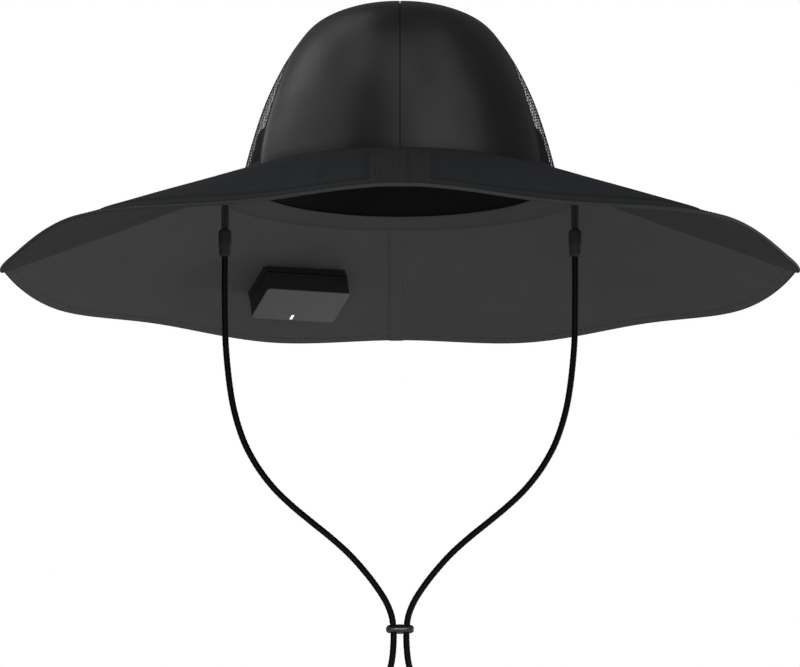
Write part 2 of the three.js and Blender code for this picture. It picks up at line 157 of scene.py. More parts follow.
@dataclass(frozen=True)
class Cloth:
    """A woven polyester: threads in relief along the piece's own UV map, with soft shade differences."""

    name: str
    colour: str
    shade: str
    thread_mm: float
    relief: float
    roughness: float
    specular: float = 0.4
    blotch_mm: float = 22.0
    thread_shade: float = 0.25
    unevenness: float = 0.04

    def material(self) -> bpy.types.Material:
        """Builds the cloth's material.

        Returns:
            The material.
        """
        found = bpy.data.materials.get(self.name)
        if found:
            return found
        material, tree = new_material(self.name)
        place = add_node(tree, "ShaderNodeTexCoord")
        flat = add_node(
            tree,
            "ShaderNodeMapping",
            {"Vector": place.outputs["UV"], "Scale": (1 / (self.thread_mm * MM),) * 3},
        )
        warp = self._threads(tree, flat.outputs["Vector"], "X")
        weft = self._threads(tree, flat.outputs["Vector"], "Y")
        weave = add_node(tree, "ShaderNodeMath", {0: warp, 1: weft}, operation="MULTIPLY")
        blotch = add_node(
            tree,
            "ShaderNodeTexNoise",
            {"Vector": place.outputs["Object"], "Scale": 1 / (self.blotch_mm * MM), "Detail": 4.0},
        )
        worn = add_node(
            tree,
            "ShaderNodeMapRange",
            {"Value": blotch.outputs["Fac"], "From Min": 0.32, "From Max": 0.68},
        )
        shading = add_node(
            tree,
            "ShaderNodeMath",
            {0: weave.outputs[0], 1: self.thread_shade, 2: worn.outputs[0]},
            operation="MULTIPLY_ADD",
        )
        colour = add_node(
            tree,
            "ShaderNodeMix",
            {"Factor": shading.outputs[0], 6: linear(self.shade), 7: linear(self.colour)},
            data_type="RGBA",
        )
        rough = add_node(
            tree,
            "ShaderNodeMapRange",
            {
                "Value": blotch.outputs["Fac"],
                "From Min": 0.3,
                "From Max": 0.7,
                "To Min": self.roughness - self.unevenness,
                "To Max": self.roughness + self.unevenness,
            },
        )
        bump = add_node(
            tree,
            "ShaderNodeBump",
            {"Height": weave.outputs[0], "Strength": self.relief, "Distance": BUMP_DEPTH},
        )
        shader = add_node(
            tree,
            "ShaderNodeBsdfPrincipled",
            {
                "Base Color": colour.outputs[2],
                "Roughness": rough.outputs[0],
                "Normal": bump.outputs["Normal"],
                "Specular IOR Level": self.specular,
            },
        )
        add_node(tree, "ShaderNodeOutputMaterial", {"Surface": shader.outputs[0]})
        return material

    @staticmethod
    def _threads(
        tree: bpy.types.NodeTree, flat: bpy.types.NodeSocket, direction: str
    ) -> bpy.types.NodeSocket:
        """Adds one set of threads.

        Args:
            tree: the material's nodes.
            flat: UV coordinates in threads.
            direction: the axis that the threads repeat along.

        Returns:
            The threads' height socket.
        """
        wave = add_node(
            tree,
            "ShaderNodeTexWave",
            {"Vector": flat, "Scale": ONE_BAND, "Distortion": 0.0},
            bands_direction=direction,
        )
        return wave.outputs["Fac"]


@dataclass(frozen=True)
class Moulded:
    """An even surface with a fine grain: moulded plastic or rubber, film, paint or plating."""

    name: str
    colour: str
    shade: str
    roughness: float
    grain_mm: float = 0.9
    relief: float = 0.2
    specular: float = 0.5
    flow_mm: float = 14.0
    unevenness: float = 0.06

    def material(self) -> bpy.types.Material:
        """Builds the surface's material.

        Returns:
            The material.
        """
        found = bpy.data.materials.get(self.name)
        if found:
            return found
        material, tree = new_material(self.name)
        place = add_node(tree, "ShaderNodeTexCoord")
        grain = add_node(
            tree,
            "ShaderNodeTexNoise",
            {"Vector": place.outputs["Object"], "Scale": 1 / (self.grain_mm * MM), "Detail": 3.0},
        )
        flow = add_node(
            tree,
            "ShaderNodeTexNoise",
            {"Vector": place.outputs["Object"], "Scale": 1 / (self.flow_mm * MM), "Detail": 2.0},
        )
        colour = add_node(
            tree,
            "ShaderNodeMix",
            {"Factor": flow.outputs["Fac"], 6: linear(self.shade), 7: linear(self.colour)},
            data_type="RGBA",
        )
        rough = add_node(
            tree,
            "ShaderNodeMapRange",
            {
                "Value": grain.outputs["Fac"],
                "To Min": self.roughness - self.unevenness,
                "To Max": self.roughness + self.unevenness,
            },
        )
        bump = add_node(
            tree,
            "ShaderNodeBump",
            {"Height": grain.outputs["Fac"], "Strength": self.relief, "Distance": BUMP_DEPTH},
        )
        shader = add_node(
            tree,
            "ShaderNodeBsdfPrincipled",
            {
                "Base Color": colour.outputs[2],
                "Roughness": rough.outputs[0],
                "Normal": bump.outputs["Normal"],
                "Specular IOR Level": self.specular,
            },
        )
        add_node(tree, "ShaderNodeOutputMaterial", {"Surface": shader.outputs[0]})
        return material


@dataclass(frozen=True)
class SolarCell:
    """A silicon cell under a dull film: blue-black, with fine fingers that are only just told apart."""

    name: str = "monocrystalline silicon under film"
    colour: str = "24272C"
    shade: str = "22252A"
    finger: str = "272A2F"
    finger_mm: float = 2.4
    tint_mm: float = 30.0
    roughness: float = 0.65
    specular: float = 0.1

    def material(self) -> bpy.types.Material:
        """Builds the cell's material.

        Returns:
            The material.
        """
        found = bpy.data.materials.get(self.name)
        if found:
            return found
        material, tree = new_material(self.name)
        place = add_node(tree, "ShaderNodeTexCoord")
        tint = add_node(
            tree,
            "ShaderNodeTexNoise",
            {"Vector": place.outputs["Object"], "Scale": 1 / (self.tint_mm * MM), "Detail": 2.0},
        )
        silicon = add_node(
            tree,
            "ShaderNodeMix",
            {"Factor": tint.outputs["Fac"], 6: linear(self.shade), 7: linear(self.colour)},
            data_type="RGBA",
        )
        flat = add_node(
            tree,
            "ShaderNodeMapping",
            {"Vector": place.outputs["UV"], "Scale": (1 / (self.finger_mm * MM),) * 3},
        )
        fingers = add_node(
            tree,
            "ShaderNodeTexWave",
            {"Vector": flat.outputs["Vector"], "Scale": ONE_BAND},
            bands_direction="Y",
        )
        narrow = add_node(
            tree,
            "ShaderNodeMapRange",
            {"Value": fingers.outputs["Fac"], "From Min": 0.9, "From Max": 1.0, "To Max": 0.8},
        )
        colour = add_node(
            tree,
            "ShaderNodeMix",
            {"Factor": narrow.outputs[0], 6: silicon.outputs[2], 7: linear(self.finger)},
            data_type="RGBA",
        )
        shader = add_node(
            tree,
            "ShaderNodeBsdfPrincipled",
            {
                "Base Color": colour.outputs[2],
                "Roughness": self.roughness,
                "Specular IOR Level": self.specular,
            },
        )
        add_node(tree, "ShaderNodeOutputMaterial", {"Surface": shader.outputs[0]})
        return material


@dataclass(frozen=True)
class Lamp:
    """A small white light pipe that is on."""

    name: str = "frosted polycarbonate light pipe"
    colour: str = "F6F8FA"
    strength: float = 1.0
    frost_mm: float = 0.6

    def material(self) -> bpy.types.Material:
        """Builds the lamp's material.

        Returns:
            The material.
        """
        material, tree = new_material(self.name)
        place = add_node(tree, "ShaderNodeTexCoord")
        frost = add_node(
            tree,
            "ShaderNodeTexNoise",
            {"Vector": place.outputs["Object"], "Scale": 1 / (self.frost_mm * MM)},
        )
        rough = add_node(
            tree,
            "ShaderNodeMapRange",
            {"Value": frost.outputs["Fac"], "To Min": 0.3, "To Max": 0.5},
        )
        shader = add_node(
            tree,
            "ShaderNodeBsdfPrincipled",
            {
                "Base Color": linear(self.colour),
                "Roughness": rough.outputs[0],
                "Emission Color": linear(self.colour),
                "Emission Strength": self.strength,
            },
        )
        add_node(tree, "ShaderNodeOutputMaterial", {"Surface": shader.outputs[0]})
        return material


# The threads of the real cloths are 0.2 to 0.4 mm apart, and are drawn coarser so that they show.
# Shell of the brim: matte and nearly black
SHELL = Cloth(
    "woven polyester taslan", "252627", "222324",
    thread_mm=1.0,
    relief=0.2, roughness=0.75, specular=0.16,
)
# Underside of the brim: brushed, which gives a soft even grey with hardly any thread
UNDERSIDE = Cloth(
    "brushed polyester", "4F4F4F", "4B4B4B",
    thread_mm=1.0,
    relief=0.1, roughness=0.75, specular=0.2,
)
# The same cloth coloured darker: in front of the side folds as painted shade, and a little darker on the
# facing round the head
PAINTED_SHADE_UNDERSIDE = replace(UNDERSIDE, name="brushed polyester, nap turned", colour="373737", shade="343434")
FACING = replace(UNDERSIDE, name="brushed polyester facing", colour="494949", shade="454545")
# Filament satin of the crown's front: a soft wide gloss and hardly any thread
SATIN = Cloth(
    "polyester satin", "0A0A0B", "080809",
    thread_mm=0.9,
    relief=0.03, roughness=0.38, specular=0.4,
)
# Net and its hems, the brim's hem tape, and the sweatband: dull, the terry roughest of them
NET = Cloth(
    "warp-knit polyester mesh", "161617", "111112",
    thread_mm=0.9,
    relief=0.2, roughness=0.7,
)
# Painted highlight: the hem tape is a lighter grey than the shell, partly its own tone and partly the
# light that catches the brim's edge
HEM_TAPE_HIGHLIGHT = Cloth(
    "grosgrain tape", "343536", "2E2F30",
    thread_mm=0.9,
    relief=0.3, roughness=0.7,
)
KNIT = Cloth(
    "knitted cotton terry", "0F0F10", "0B0B0C",
    thread_mm=1.2,
    relief=0.7, roughness=0.9, specular=0.2,
)
# Spun thread: dull, in the tone of the cloth that it lies on
TOP_THREAD = Cloth(
    "black spun polyester thread", "242526", "222324",
    thread_mm=0.5,
    relief=0.3, roughness=0.7, specular=0.2,
)
UNDER_THREAD = replace(TOP_THREAD, name="grey spun polyester thread", colour="464646", shade="424242")
# The cord is a tight braid and the darkest piece, and the tabs over the barrels are a duller, greyer knit
BRAID = Cloth(
    "braided polyester cord", "040404", "030303",
    thread_mm=0.5,
    relief=0.3, roughness=0.5, specular=0.14,
)
TUBING = Cloth(
    "knitted elastic tube", "303031", "2B2B2C",
    thread_mm=0.5,
    relief=0.4, roughness=0.7, specular=0.2,
)
# Film of the laminates: nearly black, and too dull to mirror the lights
FILM = Moulded("matte fluoropolymer film", "252729", "232527", roughness=0.7, relief=0.05, specular=0.08)
# The box: a grey grained face; its walls the same plastic coloured darker as painted shade, a little
# lighter above the groove; and the groove coloured near-black as painted shade
BOX_ABS = Moulded("spark-grained ABS", "5D5D5D", "595959", roughness=0.55, relief=0.25)
# Painted shade: the walls are coloured darker than the face, for the shade that falls on them
BOX_WALL_SHADE = Moulded(
    "soft-touch over-moulding", "212121", "1E1E1E", roughness=0.65, relief=0.15, specular=0.3
)
BOX_UPPER_WALL_SHADE = Moulded(
    "rubber-coated base plate", "2E2E2E", "2A2A2A", roughness=0.75, relief=0.1, specular=0.2
)
# Painted shade: the parting groove is coloured near-black for the shade that lies in it
GROOVE_SHADE = Moulded("black silicone gasket", "060606", "040404", roughness=0.8, relief=0.05, specular=0.1)
# The sockets' shells: dark, with a narrower gloss than the plastic round them
PORT_METAL = Moulded("black nickel plated steel", "1A1A1B", "141415", roughness=0.35, relief=0.05)
# The barrels: dull rubber, the crimped collar a touch lighter
FITTING = Moulded("moulded thermoplastic rubber", "2A2A2A", "282828", roughness=0.75, specular=0.2)
COLLAR = Moulded("crimped rubber collar", "2C2C2C", "292929", roughness=0.7, specular=0.25)
# The slider: polished, so the lights show on it as clear bright patches
BEAD = Moulded("polished acetal", "1F1F1F", "1B1B1B", roughness=0.27, relief=0.05, specular=1.0)
CELL = SolarCell()
LAMP = Lamp()
FLOOR = Moulded("painted studio floor", "F2F2F1", "EEEEED", roughness=0.6, grain_mm=4.0, relief=0.05)


def activate(piece: Object) -> None:
    """Selects one piece alone and makes it active."""
    for other in bpy.context.view_layer.objects:
        other.select_set(False)
    piece.select_set(True)
    bpy.context.view_layer.objects.active = piece


def named(piece: Object, name: str) -> Object:
    """Names an object and its mesh."""
    piece.name = name
    piece.data.name = name
    return piece


def settle(piece: Object) -> None:
    """Puts the object's place and turn into its mesh."""
    activate(piece)
    bpy.ops.object.transform_apply(location=True, rotation=True, scale=True)


def pick(piece: Object, kind: Pick, test: Callable[[Vector], bool]) -> None:
    """Selects parts of a mesh that is in edit mode, by their middle.

    Args:
        piece: the piece that is being edited.
        kind: edges or faces.
        test: says whether a middle is wanted.
    """
    bpy.ops.mesh.select_mode(type=kind.value)
    bpy.ops.mesh.select_all(action="DESELECT")
    shape = bmesh.from_edit_mesh(piece.data)
    if kind is Pick.EDGE:
        for edge in shape.edges:
            edge.select_set(test((edge.verts[0].co + edge.verts[1].co) / 2))
    else:
        for face in shape.faces:
            face.select_set(test(face.calc_center_median()))
    shape.select_flush_mode()
    bmesh.update_edit_mesh(piece.data)


def close_up(piece: Object, is_capped: bool) -> None:
    """Merges the meeting edges of a rolled-up sheet and turns its faces outwards.

    Args:
        piece: the sheet.
        is_capped: whether its open ends are closed by a face each.
    """
    activate(piece)
    bpy.ops.object.mode_set(mode="EDIT")
    bpy.ops.mesh.select_all(action="SELECT")
    bpy.ops.mesh.remove_doubles(threshold=MERGE)
    if is_capped:
        bpy.ops.mesh.select_mode(type=Pick.EDGE.value)
        bpy.ops.mesh.select_all(action="DESELECT")
        bpy.ops.mesh.select_non_manifold(extend=False)
        bpy.ops.mesh.edge_face_add()
        bpy.ops.mesh.select_all(action="SELECT")
    bpy.ops.mesh.normals_make_consistent(inside=False)
    bpy.ops.object.mode_set(mode="OBJECT")


def modify(piece: Object, kind: str, **settings) -> None:
    """Adds a modifier to a piece and applies it.

    Args:
        piece: the piece.
        kind: the modifier's type name.
        settings: the modifier's own properties.
    """
    modifier = piece.modifiers.new(kind.lower(), kind)
    for key, value in settings.items():
        setattr(modifier, key, value)
    activate(piece)
    bpy.ops.object.modifier_apply(modifier=modifier.name)


def cut(piece: Object, cutter: Object) -> None:
    """Cuts one piece by another and deletes the cutter."""
    modify(piece, "BOOLEAN", object=cutter, operation="DIFFERENCE", solver="EXACT")
    bpy.data.objects.remove(cutter)


def smooth(piece: Object, degrees: float = 40) -> None:
    """Shades a piece smooth but for edges sharper than an angle."""
    activate(piece)
    bpy.ops.object.shade_smooth_by_angle(angle=math.radians(degrees))


def move_points(piece: Object, rule: Callable[[Vector], Vector]) -> None:
    """Moves each point of a mesh by a rule."""
    for vertex in piece.data.vertices:
        vertex.co = rule(vertex.co)
    piece.data.update()


def joined(pieces: Sequence[Object]) -> Object:
    """Joins pieces into the first one and returns it."""
    activate(pieces[0])
    for piece in pieces:
        piece.select_set(True)
    bpy.ops.object.join()
    return pieces[0]


def wear(piece: Object, *finishes) -> Object:
    """Gives a piece its materials: one all over, or the skin's and then the back's.

    Args:
        piece: the piece.
        finishes: its finishes, in the order of the faces' indices.

    Returns:
        The piece.
    """
    if len(finishes) == 1:
        piece.data.materials.clear()
    for finish in finishes:
        piece.data.materials.append(finish.material())
    return piece


def mount(piece: Object, slot: str, *nodes: str) -> Object:
    """Rides a piece on the hat and hides the CAD nodes that it replaces.

    Args:
        piece: the finished piece.
        slot: the record's material slot; not used.
        nodes: the CAD nodes that it replaces, if any.

    Returns:
        The piece.
    """
    settle(piece)
    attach(piece, BODY)
    if nodes:
        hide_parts(*nodes)
    LOG.info("%s: %d faces", piece.name, len(piece.data.polygons))
    return piece


def span(points: Sequence[Vector]) -> float:
    """The length of a line through points."""
    return sum((b - a).length for a, b in zip(points, points[1:]))


def gone_along(points: Sequence[Vector]) -> np.ndarray:
    """The length gone at each of a line's points."""
    return np.concatenate([[0.0], np.cumsum([(b - a).length for a, b in zip(points, points[1:])])])


def smooth_walk(rows: Sequence[tuple[float, float]], steps: int = 40) -> np.ndarray:
    """Walks a smooth curve through rows of two numbers.

    Args:
        rows: the points that the curve passes.
        steps: how many steps lie between two rows.

    Returns:
        The points on the way, one a line.
    """
    at = np.array(rows, float)
    padded = np.vstack([at[0], at, at[-1]])
    walk = []
    for i in range(len(at) - 1):
        p0, p1, p2, p3 = padded[i : i + 4]
        v0, v1 = (p2 - p0) / 2, (p3 - p1) / 2
        cube, square = 2 * p1 - 2 * p2 + v0 + v1, -3 * p1 + 3 * p2 - 2 * v0 - v1
        for t in np.linspace(0, 1, steps, endpoint=False):
            walk.append(cube * t**3 + square * t**2 + v0 * t + p1)
    return np.array([*walk, at[-1]])


def sheet(name: str, columns: int, rows: int, place: Surface) -> Object:
    """Lays a grid on a surface, with a UV map in metres along it.

    Args:
        name: the piece's name.
        columns: faces across.
        rows: faces along.
        place: the surface, by shares across and along.

    Returns:
        The open sheet.
    """
    bpy.ops.mesh.primitive_grid_add(
        x_subdivisions=columns, y_subdivisions=rows, size=1, location=(0.5, 0.5, 0)
    )
    piece = named(bpy.context.object, name)
    settle(piece)
    mesh = piece.data
    across = span([place(i / columns, 0.5) for i in range(columns + 1)])
    along = span([place(0.5, i / rows) for i in range(rows + 1)])
    shares = [vertex.co.copy() for vertex in mesh.vertices]
    layer = mesh.uv_layers[0].data
    for loop in mesh.loops:
        share = shares[loop.vertex_index]
        layer[loop.index].uv = (share.x * across, share.y * along)
    for key, axis in (("share_u", 0), ("share_v", 1)):
        attribute = mesh.attributes.new(key, "FLOAT", "POINT")
        attribute.data.foreach_set("value", [share[axis] for share in shares])
    for vertex, share in zip(mesh.vertices, shares):
        vertex.co = place(share.x, share.y)
    return piece


def thicken(piece: Object, back: Surface, is_ring: bool = False) -> Object:
    """Extrudes a sheet once into a closed wall whose other face lies on a second surface.

    Args:
        piece: a sheet with its shares as attributes.
        back: the second surface.
        is_ring: whether the sheet's first and last columns meet.

    Returns:
        The closed wall.
    """
    activate(piece)
    bpy.ops.object.mode_set(mode="EDIT")
    bpy.ops.mesh.select_mode(type=Pick.FACE.value)
    bpy.ops.mesh.select_all(action="SELECT")
    if is_ring:
        bpy.ops.mesh.remove_doubles(threshold=MERGE)
    bpy.ops.mesh.extrude_region_move()
    shape = bmesh.from_edit_mesh(piece.data)
    across = shape.verts.layers.float["share_u"]
    along = shape.verts.layers.float["share_v"]
    for vertex in shape.verts:
        if vertex.select:
            vertex.co = back(vertex[across], vertex[along])
    for face in shape.faces:
        face.material_index = 1 if face.select else 0
    bmesh.update_edit_mesh(piece.data)
    bpy.ops.mesh.select_all(action="SELECT")
    bpy.ops.mesh.normals_make_consistent(inside=False)
    bpy.ops.object.mode_set(mode="OBJECT")
    for key in ("share_u", "share_v"):
        piece.data.attributes.remove(piece.data.attributes[key])
    return piece


def wall(
    name: str, columns: int, rows: int, skin: Surface, back: Surface, is_ring: bool = False
) -> Object:
    """A closed wall between two surfaces: its skin wears the first material and its back the second.

    Args:
        name: the piece's name.
        columns: faces across.
        rows: faces along.
        skin: the outer surface, by shares across and along.
        back: the inner surface, by the same shares.
        is_ring: whether the first and last columns meet.

    Returns:
        The closed wall.
    """
    return thicken(sheet(name, columns, rows, skin), back, is_ring)


def frame_at(origin: Vector, along: Vector, up: Vector) -> Matrix:
    """A place whose X runs along a line and whose Z stands up from it.

    Args:
        origin: the place.
        along: the line's direction.
        up: roughly the way out of the surface.

    Returns:
        The matrix.
    """
    x = along.normalized()
    y = up.cross(x).normalized()
    z = x.cross(y)
    return Matrix.Translation(origin) @ Matrix((x, y, z)).transposed().to_4x4()


@dataclass
class Stitching:
    """Rows of lockstitch: one stitch is modelled, and joined copies of it lie along each row."""

    length: float = 2.6
    pitch: float = 3.4
    width: float = 0.4
    height: float = 0.24
    places: list[Matrix] = field(default_factory=list)

    def row(
        self, line: Callable[[float], Vector], normal: Callable[[float], Vector], steps: int = 400
    ) -> None:
        """Adds a row of stitches along a line.

        Args:
            line: the row's points by share of the way.
            normal: the way out of the cloth, by share of the way.
            steps: how finely the line is walked.
        """
        points = [line(i / steps) for i in range(steps + 1)]
        gone = gone_along(points)
        count = int(gone[-1] / (self.pitch * MM))
        for index in range(count):
            middle = (index + 0.5) * gone[-1] / count
            share = float(np.interp(middle, gone, np.linspace(0, 1, steps + 1)))
            step = 0.5 / steps
            ahead = line(min(1, share + step)) - line(max(0, share - step))
            self.places.append(frame_at(line(share), ahead, normal(share)))

    def build(self, name: str, thread: Cloth) -> Object:
        """Models a stitch and copies it to every place.

        Args:
            name: the piece's name.
            thread: what it is sewn with.

        Returns:
            The joined stitches.
        """
        bpy.ops.mesh.primitive_uv_sphere_add(segments=6, ring_count=4, radius=0.5)
        stitch = bpy.context.object
        stitch.rotation_euler = (0, math.pi / 2, 0)
        stitch.scale = (self.height * MM, self.width * MM, self.length * MM)
        settle(stitch)
        points = np.array([v.co for v in stitch.data.vertices])
        faces = [list(p.vertices) for p in stitch.data.polygons]
        bpy.data.objects.remove(stitch)
        verts: list[np.ndarray] = []
        sides: list[list[int]] = []
        for place in self.places:
            start = len(verts) * len(points)
            turn = np.array(place.to_3x3())
            verts.append(points @ turn.T + np.array(place.translation))
            sides.extend([start + i for i in face] for face in faces)
        mesh = bpy.data.meshes.new(name)
        mesh.from_pydata(np.concatenate(verts).tolist(), [], sides)
        piece = bpy.data.objects.new(name, mesh)
        bpy.context.scene.collection.objects.link(piece)
        activate(piece)
        bpy.ops.object.shade_smooth()
        return wear(piece, thread)


@dataclass(frozen=True)
class Fold:
    """A ridge or valley of the brim: height of its edge, and its rise in mm per degree on either side."""

    angle: float
    height: float
    before: float = 0.0
    after: float = 0.0


@dataclass(frozen=True)
class Crease:
    """A short radial crease: its angle, the shares of its ends, and its depth and half width in mm."""

    angle: float
    start: float
    end: float
    depth: float
    spread: float

    def dip(self, angle: float, share: float, unit: float) -> float:
        """How deep the crease is at a place, in mm.

        Args:
            angle: degrees from the front, less than zero to the left.
            share: how far out on the brim.
            unit: millimetres for each degree there.

        Returns:
            The depth.
        """
        along = (share - self.start) / (self.end - self.start)
        if not 0 < along < 1:
            return 0.0
        beside = (angle - self.angle) * unit / self.spread
        return self.depth * math.sin(math.pi * along) ** 2 * math.exp(-beside * beside)


@dataclass
class Brim:
    """The brim: two folded cloth halves, the strips that join them, its binding and the facing ring."""

    inner_x: float = 83.3
    inner_y: float = 93.8
    outer_x: float = 213.7
    outer_y: float = 228.7
    thickness: float = 1.5
    gap: float = 0.3
    strip_width: float = 9.4
    strip_proud: float = 0.5
    strip_stitch_inset: float = 1.0
    strip_overlap: float = 1.2
    # The strips' middles in front and behind, and the shares between which they rise and are sewn
    strip_middles: tuple[float, float] = (0.0, -2.1)
    strip_rises: tuple[float, float] = (0.11, 0.14)
    strip_sewn: tuple[float, float] = (0.17, 0.98)
    strip_rounding: float = 0.8
    binding_width: float = 1.0
    binding_overlap: float = 0.1
    ring_inner: tuple[float, float] = (81.2, 91.2)
    ring_outer: tuple[float, float] = (98.0, 105.5)
    ring_thickness: float = 1.4
    ring_rounding: float = 0.75
    ring_sewn: tuple[float, float] = (0.82, 0.93)
    hem_stitch_inset: float = 5.0
    stitch_proud: float = 0.1
    # Short rows of stitches at the front: how far right of the middle, and the shares of their ends
    front_rows: tuple[tuple[float, float, float], ...] = (
        (-15.0, 0.05, 0.27),
        (-12.3, 0.48, 0.78),
        (-10.3, 0.55, 0.77),
        (-1.0, 0.26, 0.8),
        (2.4, 0.26, 0.56),
    )
    ripple: float = 0.2
    ripples_per_metre: float = 28.0
    # How steeply the ripples start at the inner oval and end at the outer one, by share of the way out
    ripple_start: float = 8.0
    ripple_end: float = 12.0
    # Degrees from the front up to which the underside is coloured darker, as painted shade in front of
    # the side folds
    painted_shade_until: float = 93.0
    creases: tuple[Crease, ...] = (
        Crease(-131, 0.06, 0.44, depth=2.8, spread=6),
        Crease(141, 0.1, 0.45, depth=-0.9, spread=7),
        Crease(128, 0.08, 0.3, depth=0.7, spread=8),
    )
    folds: tuple[Fold, ...] = (
        Fold(0, -46.4),
        Fold(22, -52.1),
        Fold(50, -46.7),
        Fold(72, -54.2),
        Fold(93, -46.1, before=0.9),
        Fold(117, -51.2),
        Fold(139, -47.2),
        Fold(160, -51.4),
        Fold(180, -47.6),
    )

    def oval(self, share: float) -> tuple[float, float]:
        """The half width and half length in mm of the brim's oval, by share of the way out."""
        half_x = self.inner_x + (self.outer_x - self.inner_x) * share
        half_y = self.inner_y + (self.outer_y - self.inner_y) * share
        return half_x, half_y

    def edge_height(self, angle: float) -> float:
        """The edge's height in mm at an angle from the front, in degrees either way.

        Args:
            angle: degrees from the front.

        Returns:
            The height over the head opening, less than zero.
        """
        at = min(180.0, abs(angle))
        index = next((i for i, fold in enumerate(self.folds) if fold.angle >= at), 0)
        low, high = self.folds[max(0, index - 1)], self.folds[max(1, index)]
        reach = high.angle - low.angle
        t = (at - low.angle) / reach
        ease = t * t * (3 - 2 * t)
        rise = low.after * reach * t * (1 - t) ** 2 - high.before * reach * t * t * (1 - t)
        return low.height + (high.height - low.height) * ease + rise

    def point(self, angle: float, share: float, drop: float = 0.0) -> Vector:
        """A point on the brim's top.

        Args:
            angle: degrees from the front.
            share: how far out, from the inner oval to the outer one.
            drop: how far below the top, in mm.

        Returns:
            The point in metres.
        """
        turn = math.radians(angle)
        half_x, half_y = self.oval(share)
        height = self.edge_height(angle) * share - drop
        return Vector((half_x * math.sin(turn), -half_y * math.cos(turn), height)) * MM

    def rippled(self, angle: float, share: float, drop: float) -> Vector:
        """A point on the cloth as it lies, with the slight unevenness of sewn layers.

        Args:
            angle: degrees from the front.
            share: how far out.
            drop: how far below the top, in mm.

        Returns:
            The point in metres.
        """
        point = self.point(angle, share, drop)
        wave = noise.noise(Vector((point.x, point.y, 0)) * self.ripples_per_metre)
        quiet = min(1.0, share * self.ripple_start, (1 - share) * self.ripple_end)
        unit = math.radians(self.oval(share)[0])
        dip = sum(crease.dip(angle, share, unit) for crease in self.creases)
        point.z += (wave * quiet * self.ripple - dip) * MM
        return point

    def height(self, x: float, y: float) -> float:
        """The brim top's height in mm over a place in plan, level inside its inner oval.

        Args:
            x: mm to the right.
            y: mm to the back.

        Returns:
            The height over the head opening.
        """
        low, high = 0.0, 1.0
        for _ in range(30):
            middle = (low + high) / 2
            half_x, half_y = self.oval(middle)
            if math.hypot(x / half_x, y / half_y) > 1:
                low = middle
            else:
                high = middle
        angle = math.degrees(math.atan2(x / half_x, -y / half_y))
        return self.edge_height(angle) * low

    def inset_angle(self, distance: float, share: float) -> float:
        """The angle at which an oval of the brim is a distance in mm from the centre line."""
        return math.degrees(math.asin(distance / self.oval(share)[0]))

    def normal(self, angle: float, share: float) -> Vector:
        """The way up out of the brim's top.

        Args:
            angle: degrees from the front.
            share: how far out.

        Returns:
            The unit normal.
        """
        step = 0.02
        around = self.point(angle + 1, share) - self.point(angle - 1, share)
        outwards = self.point(angle, share + step) - self.point(angle, share - step)
        up = around.cross(outwards).normalized()
        return up if up.z > 0 else -up

    def build(self) -> None:
        """Makes every piece of the brim."""
        for side in Side:
            self.half(side)
        self.strip("front", 0)
        self.strip("back", 180)
        self.binding()
        self.ring()
        self.stitches()

    def half(self, side: Side) -> None:
        """Makes one cloth half, from the front strip round to the back one.

        Args:
            side: the half's side.
        """

        def place(u: float, v: float, drop: float) -> Vector:
            """The half's cloth, kept clear of the strips' middles."""
            under = self.strip_width / 2 - self.strip_overlap
            front, behind = (under + side.value * middle for middle in self.strip_middles)
            start, end = self.inset_angle(front, v), self.inset_angle(behind, v)
            angle = min(max(180 * u, start), 180 - end)
            return self.rippled(side.value * angle, v, drop)

        piece = wall(
            f"brim_cloth_{side.label}",
            columns=180,
            rows=26,
            skin=lambda u, v: place(u, v, 0),
            back=lambda u, v: place(u, v, self.thickness),
        )
        smooth(piece, 7)
        finishes = (SHELL, UNDERSIDE, PAINTED_SHADE_UNDERSIDE)
        wear(piece, *finishes)
        # Painted shade: underside faces in front of the side folds take the darker copy of the cloth
        for face in piece.data.polygons:
            at = face.center
            angle = math.degrees(math.atan2(abs(at.x) / self.outer_x, -at.y / self.outer_y))
            if face.material_index == finishes.index(UNDERSIDE) and angle < self.painted_shade_until:
                face.material_index = finishes.index(PAINTED_SHADE_UNDERSIDE)
        mount(piece, "brim_cloth", f"brim_{side.label}")

    def strip(self, name: str, angle: float) -> None:
        """Makes a strip that joins the halves, proud of them beyond the ring.

        Args:
            name: which strip.
            angle: 0 for the front strip and 180 for the back one.
        """
        sign = -1 if angle == 0 else 1
        middle = self.strip_middles[0 if angle == 0 else 1]
        low, high = self.strip_rises

        def place(u: float, v: float, is_top: bool) -> Vector:
            """The strip's upper or lower face."""
            across = 2 * u - 1
            x = middle + across * self.strip_width / 2
            y = sign * self.oval(v)[1]
            clear = min(1.0, max(0.0, (v - low) / (high - low)))
            rounding = 1 - self.strip_rounding * abs(across) ** 8
            proud = self.strip_proud * clear * rounding
            z = self.height(x, y) + (proud if is_top else -self.thickness - proud)
            return Vector((x, y, z)) * MM

        piece = wall(
            f"brim_tape_{name}",
            columns=12,
            rows=90,
            skin=lambda u, v: place(u, v, True),
            back=lambda u, v: place(u, v, False),
        )
        smooth(piece, 50)
        wear(piece, SHELL, UNDERSIDE)
        mount(piece, "brim_cloth", f"brim_strip_{name}")

    def edge_line(self, turn: float, outwards: float, lift: float) -> Vector:
        """A point beside the brim's edge.

        Args:
            turn: degrees round from the front, from 0 to 360.
            outwards: distance from the edge in plan, in mm.
            lift: height over the edge, in mm.

        Returns:
            The point in metres.
        """
        angle = turn - 360 if turn > 180 else turn
        point = self.point(angle, 1)
        away = Vector((point.x / self.outer_x**2, point.y / self.outer_y**2, 0)).normalized()
        point += away * outwards * MM
        point.z += lift * MM
        return point

    def binding(self) -> None:
        """Makes the thin hem that is folded round the edge, round in section."""
        half_height = self.thickness / 2 + self.binding_overlap
        half_width = self.binding_width / 2

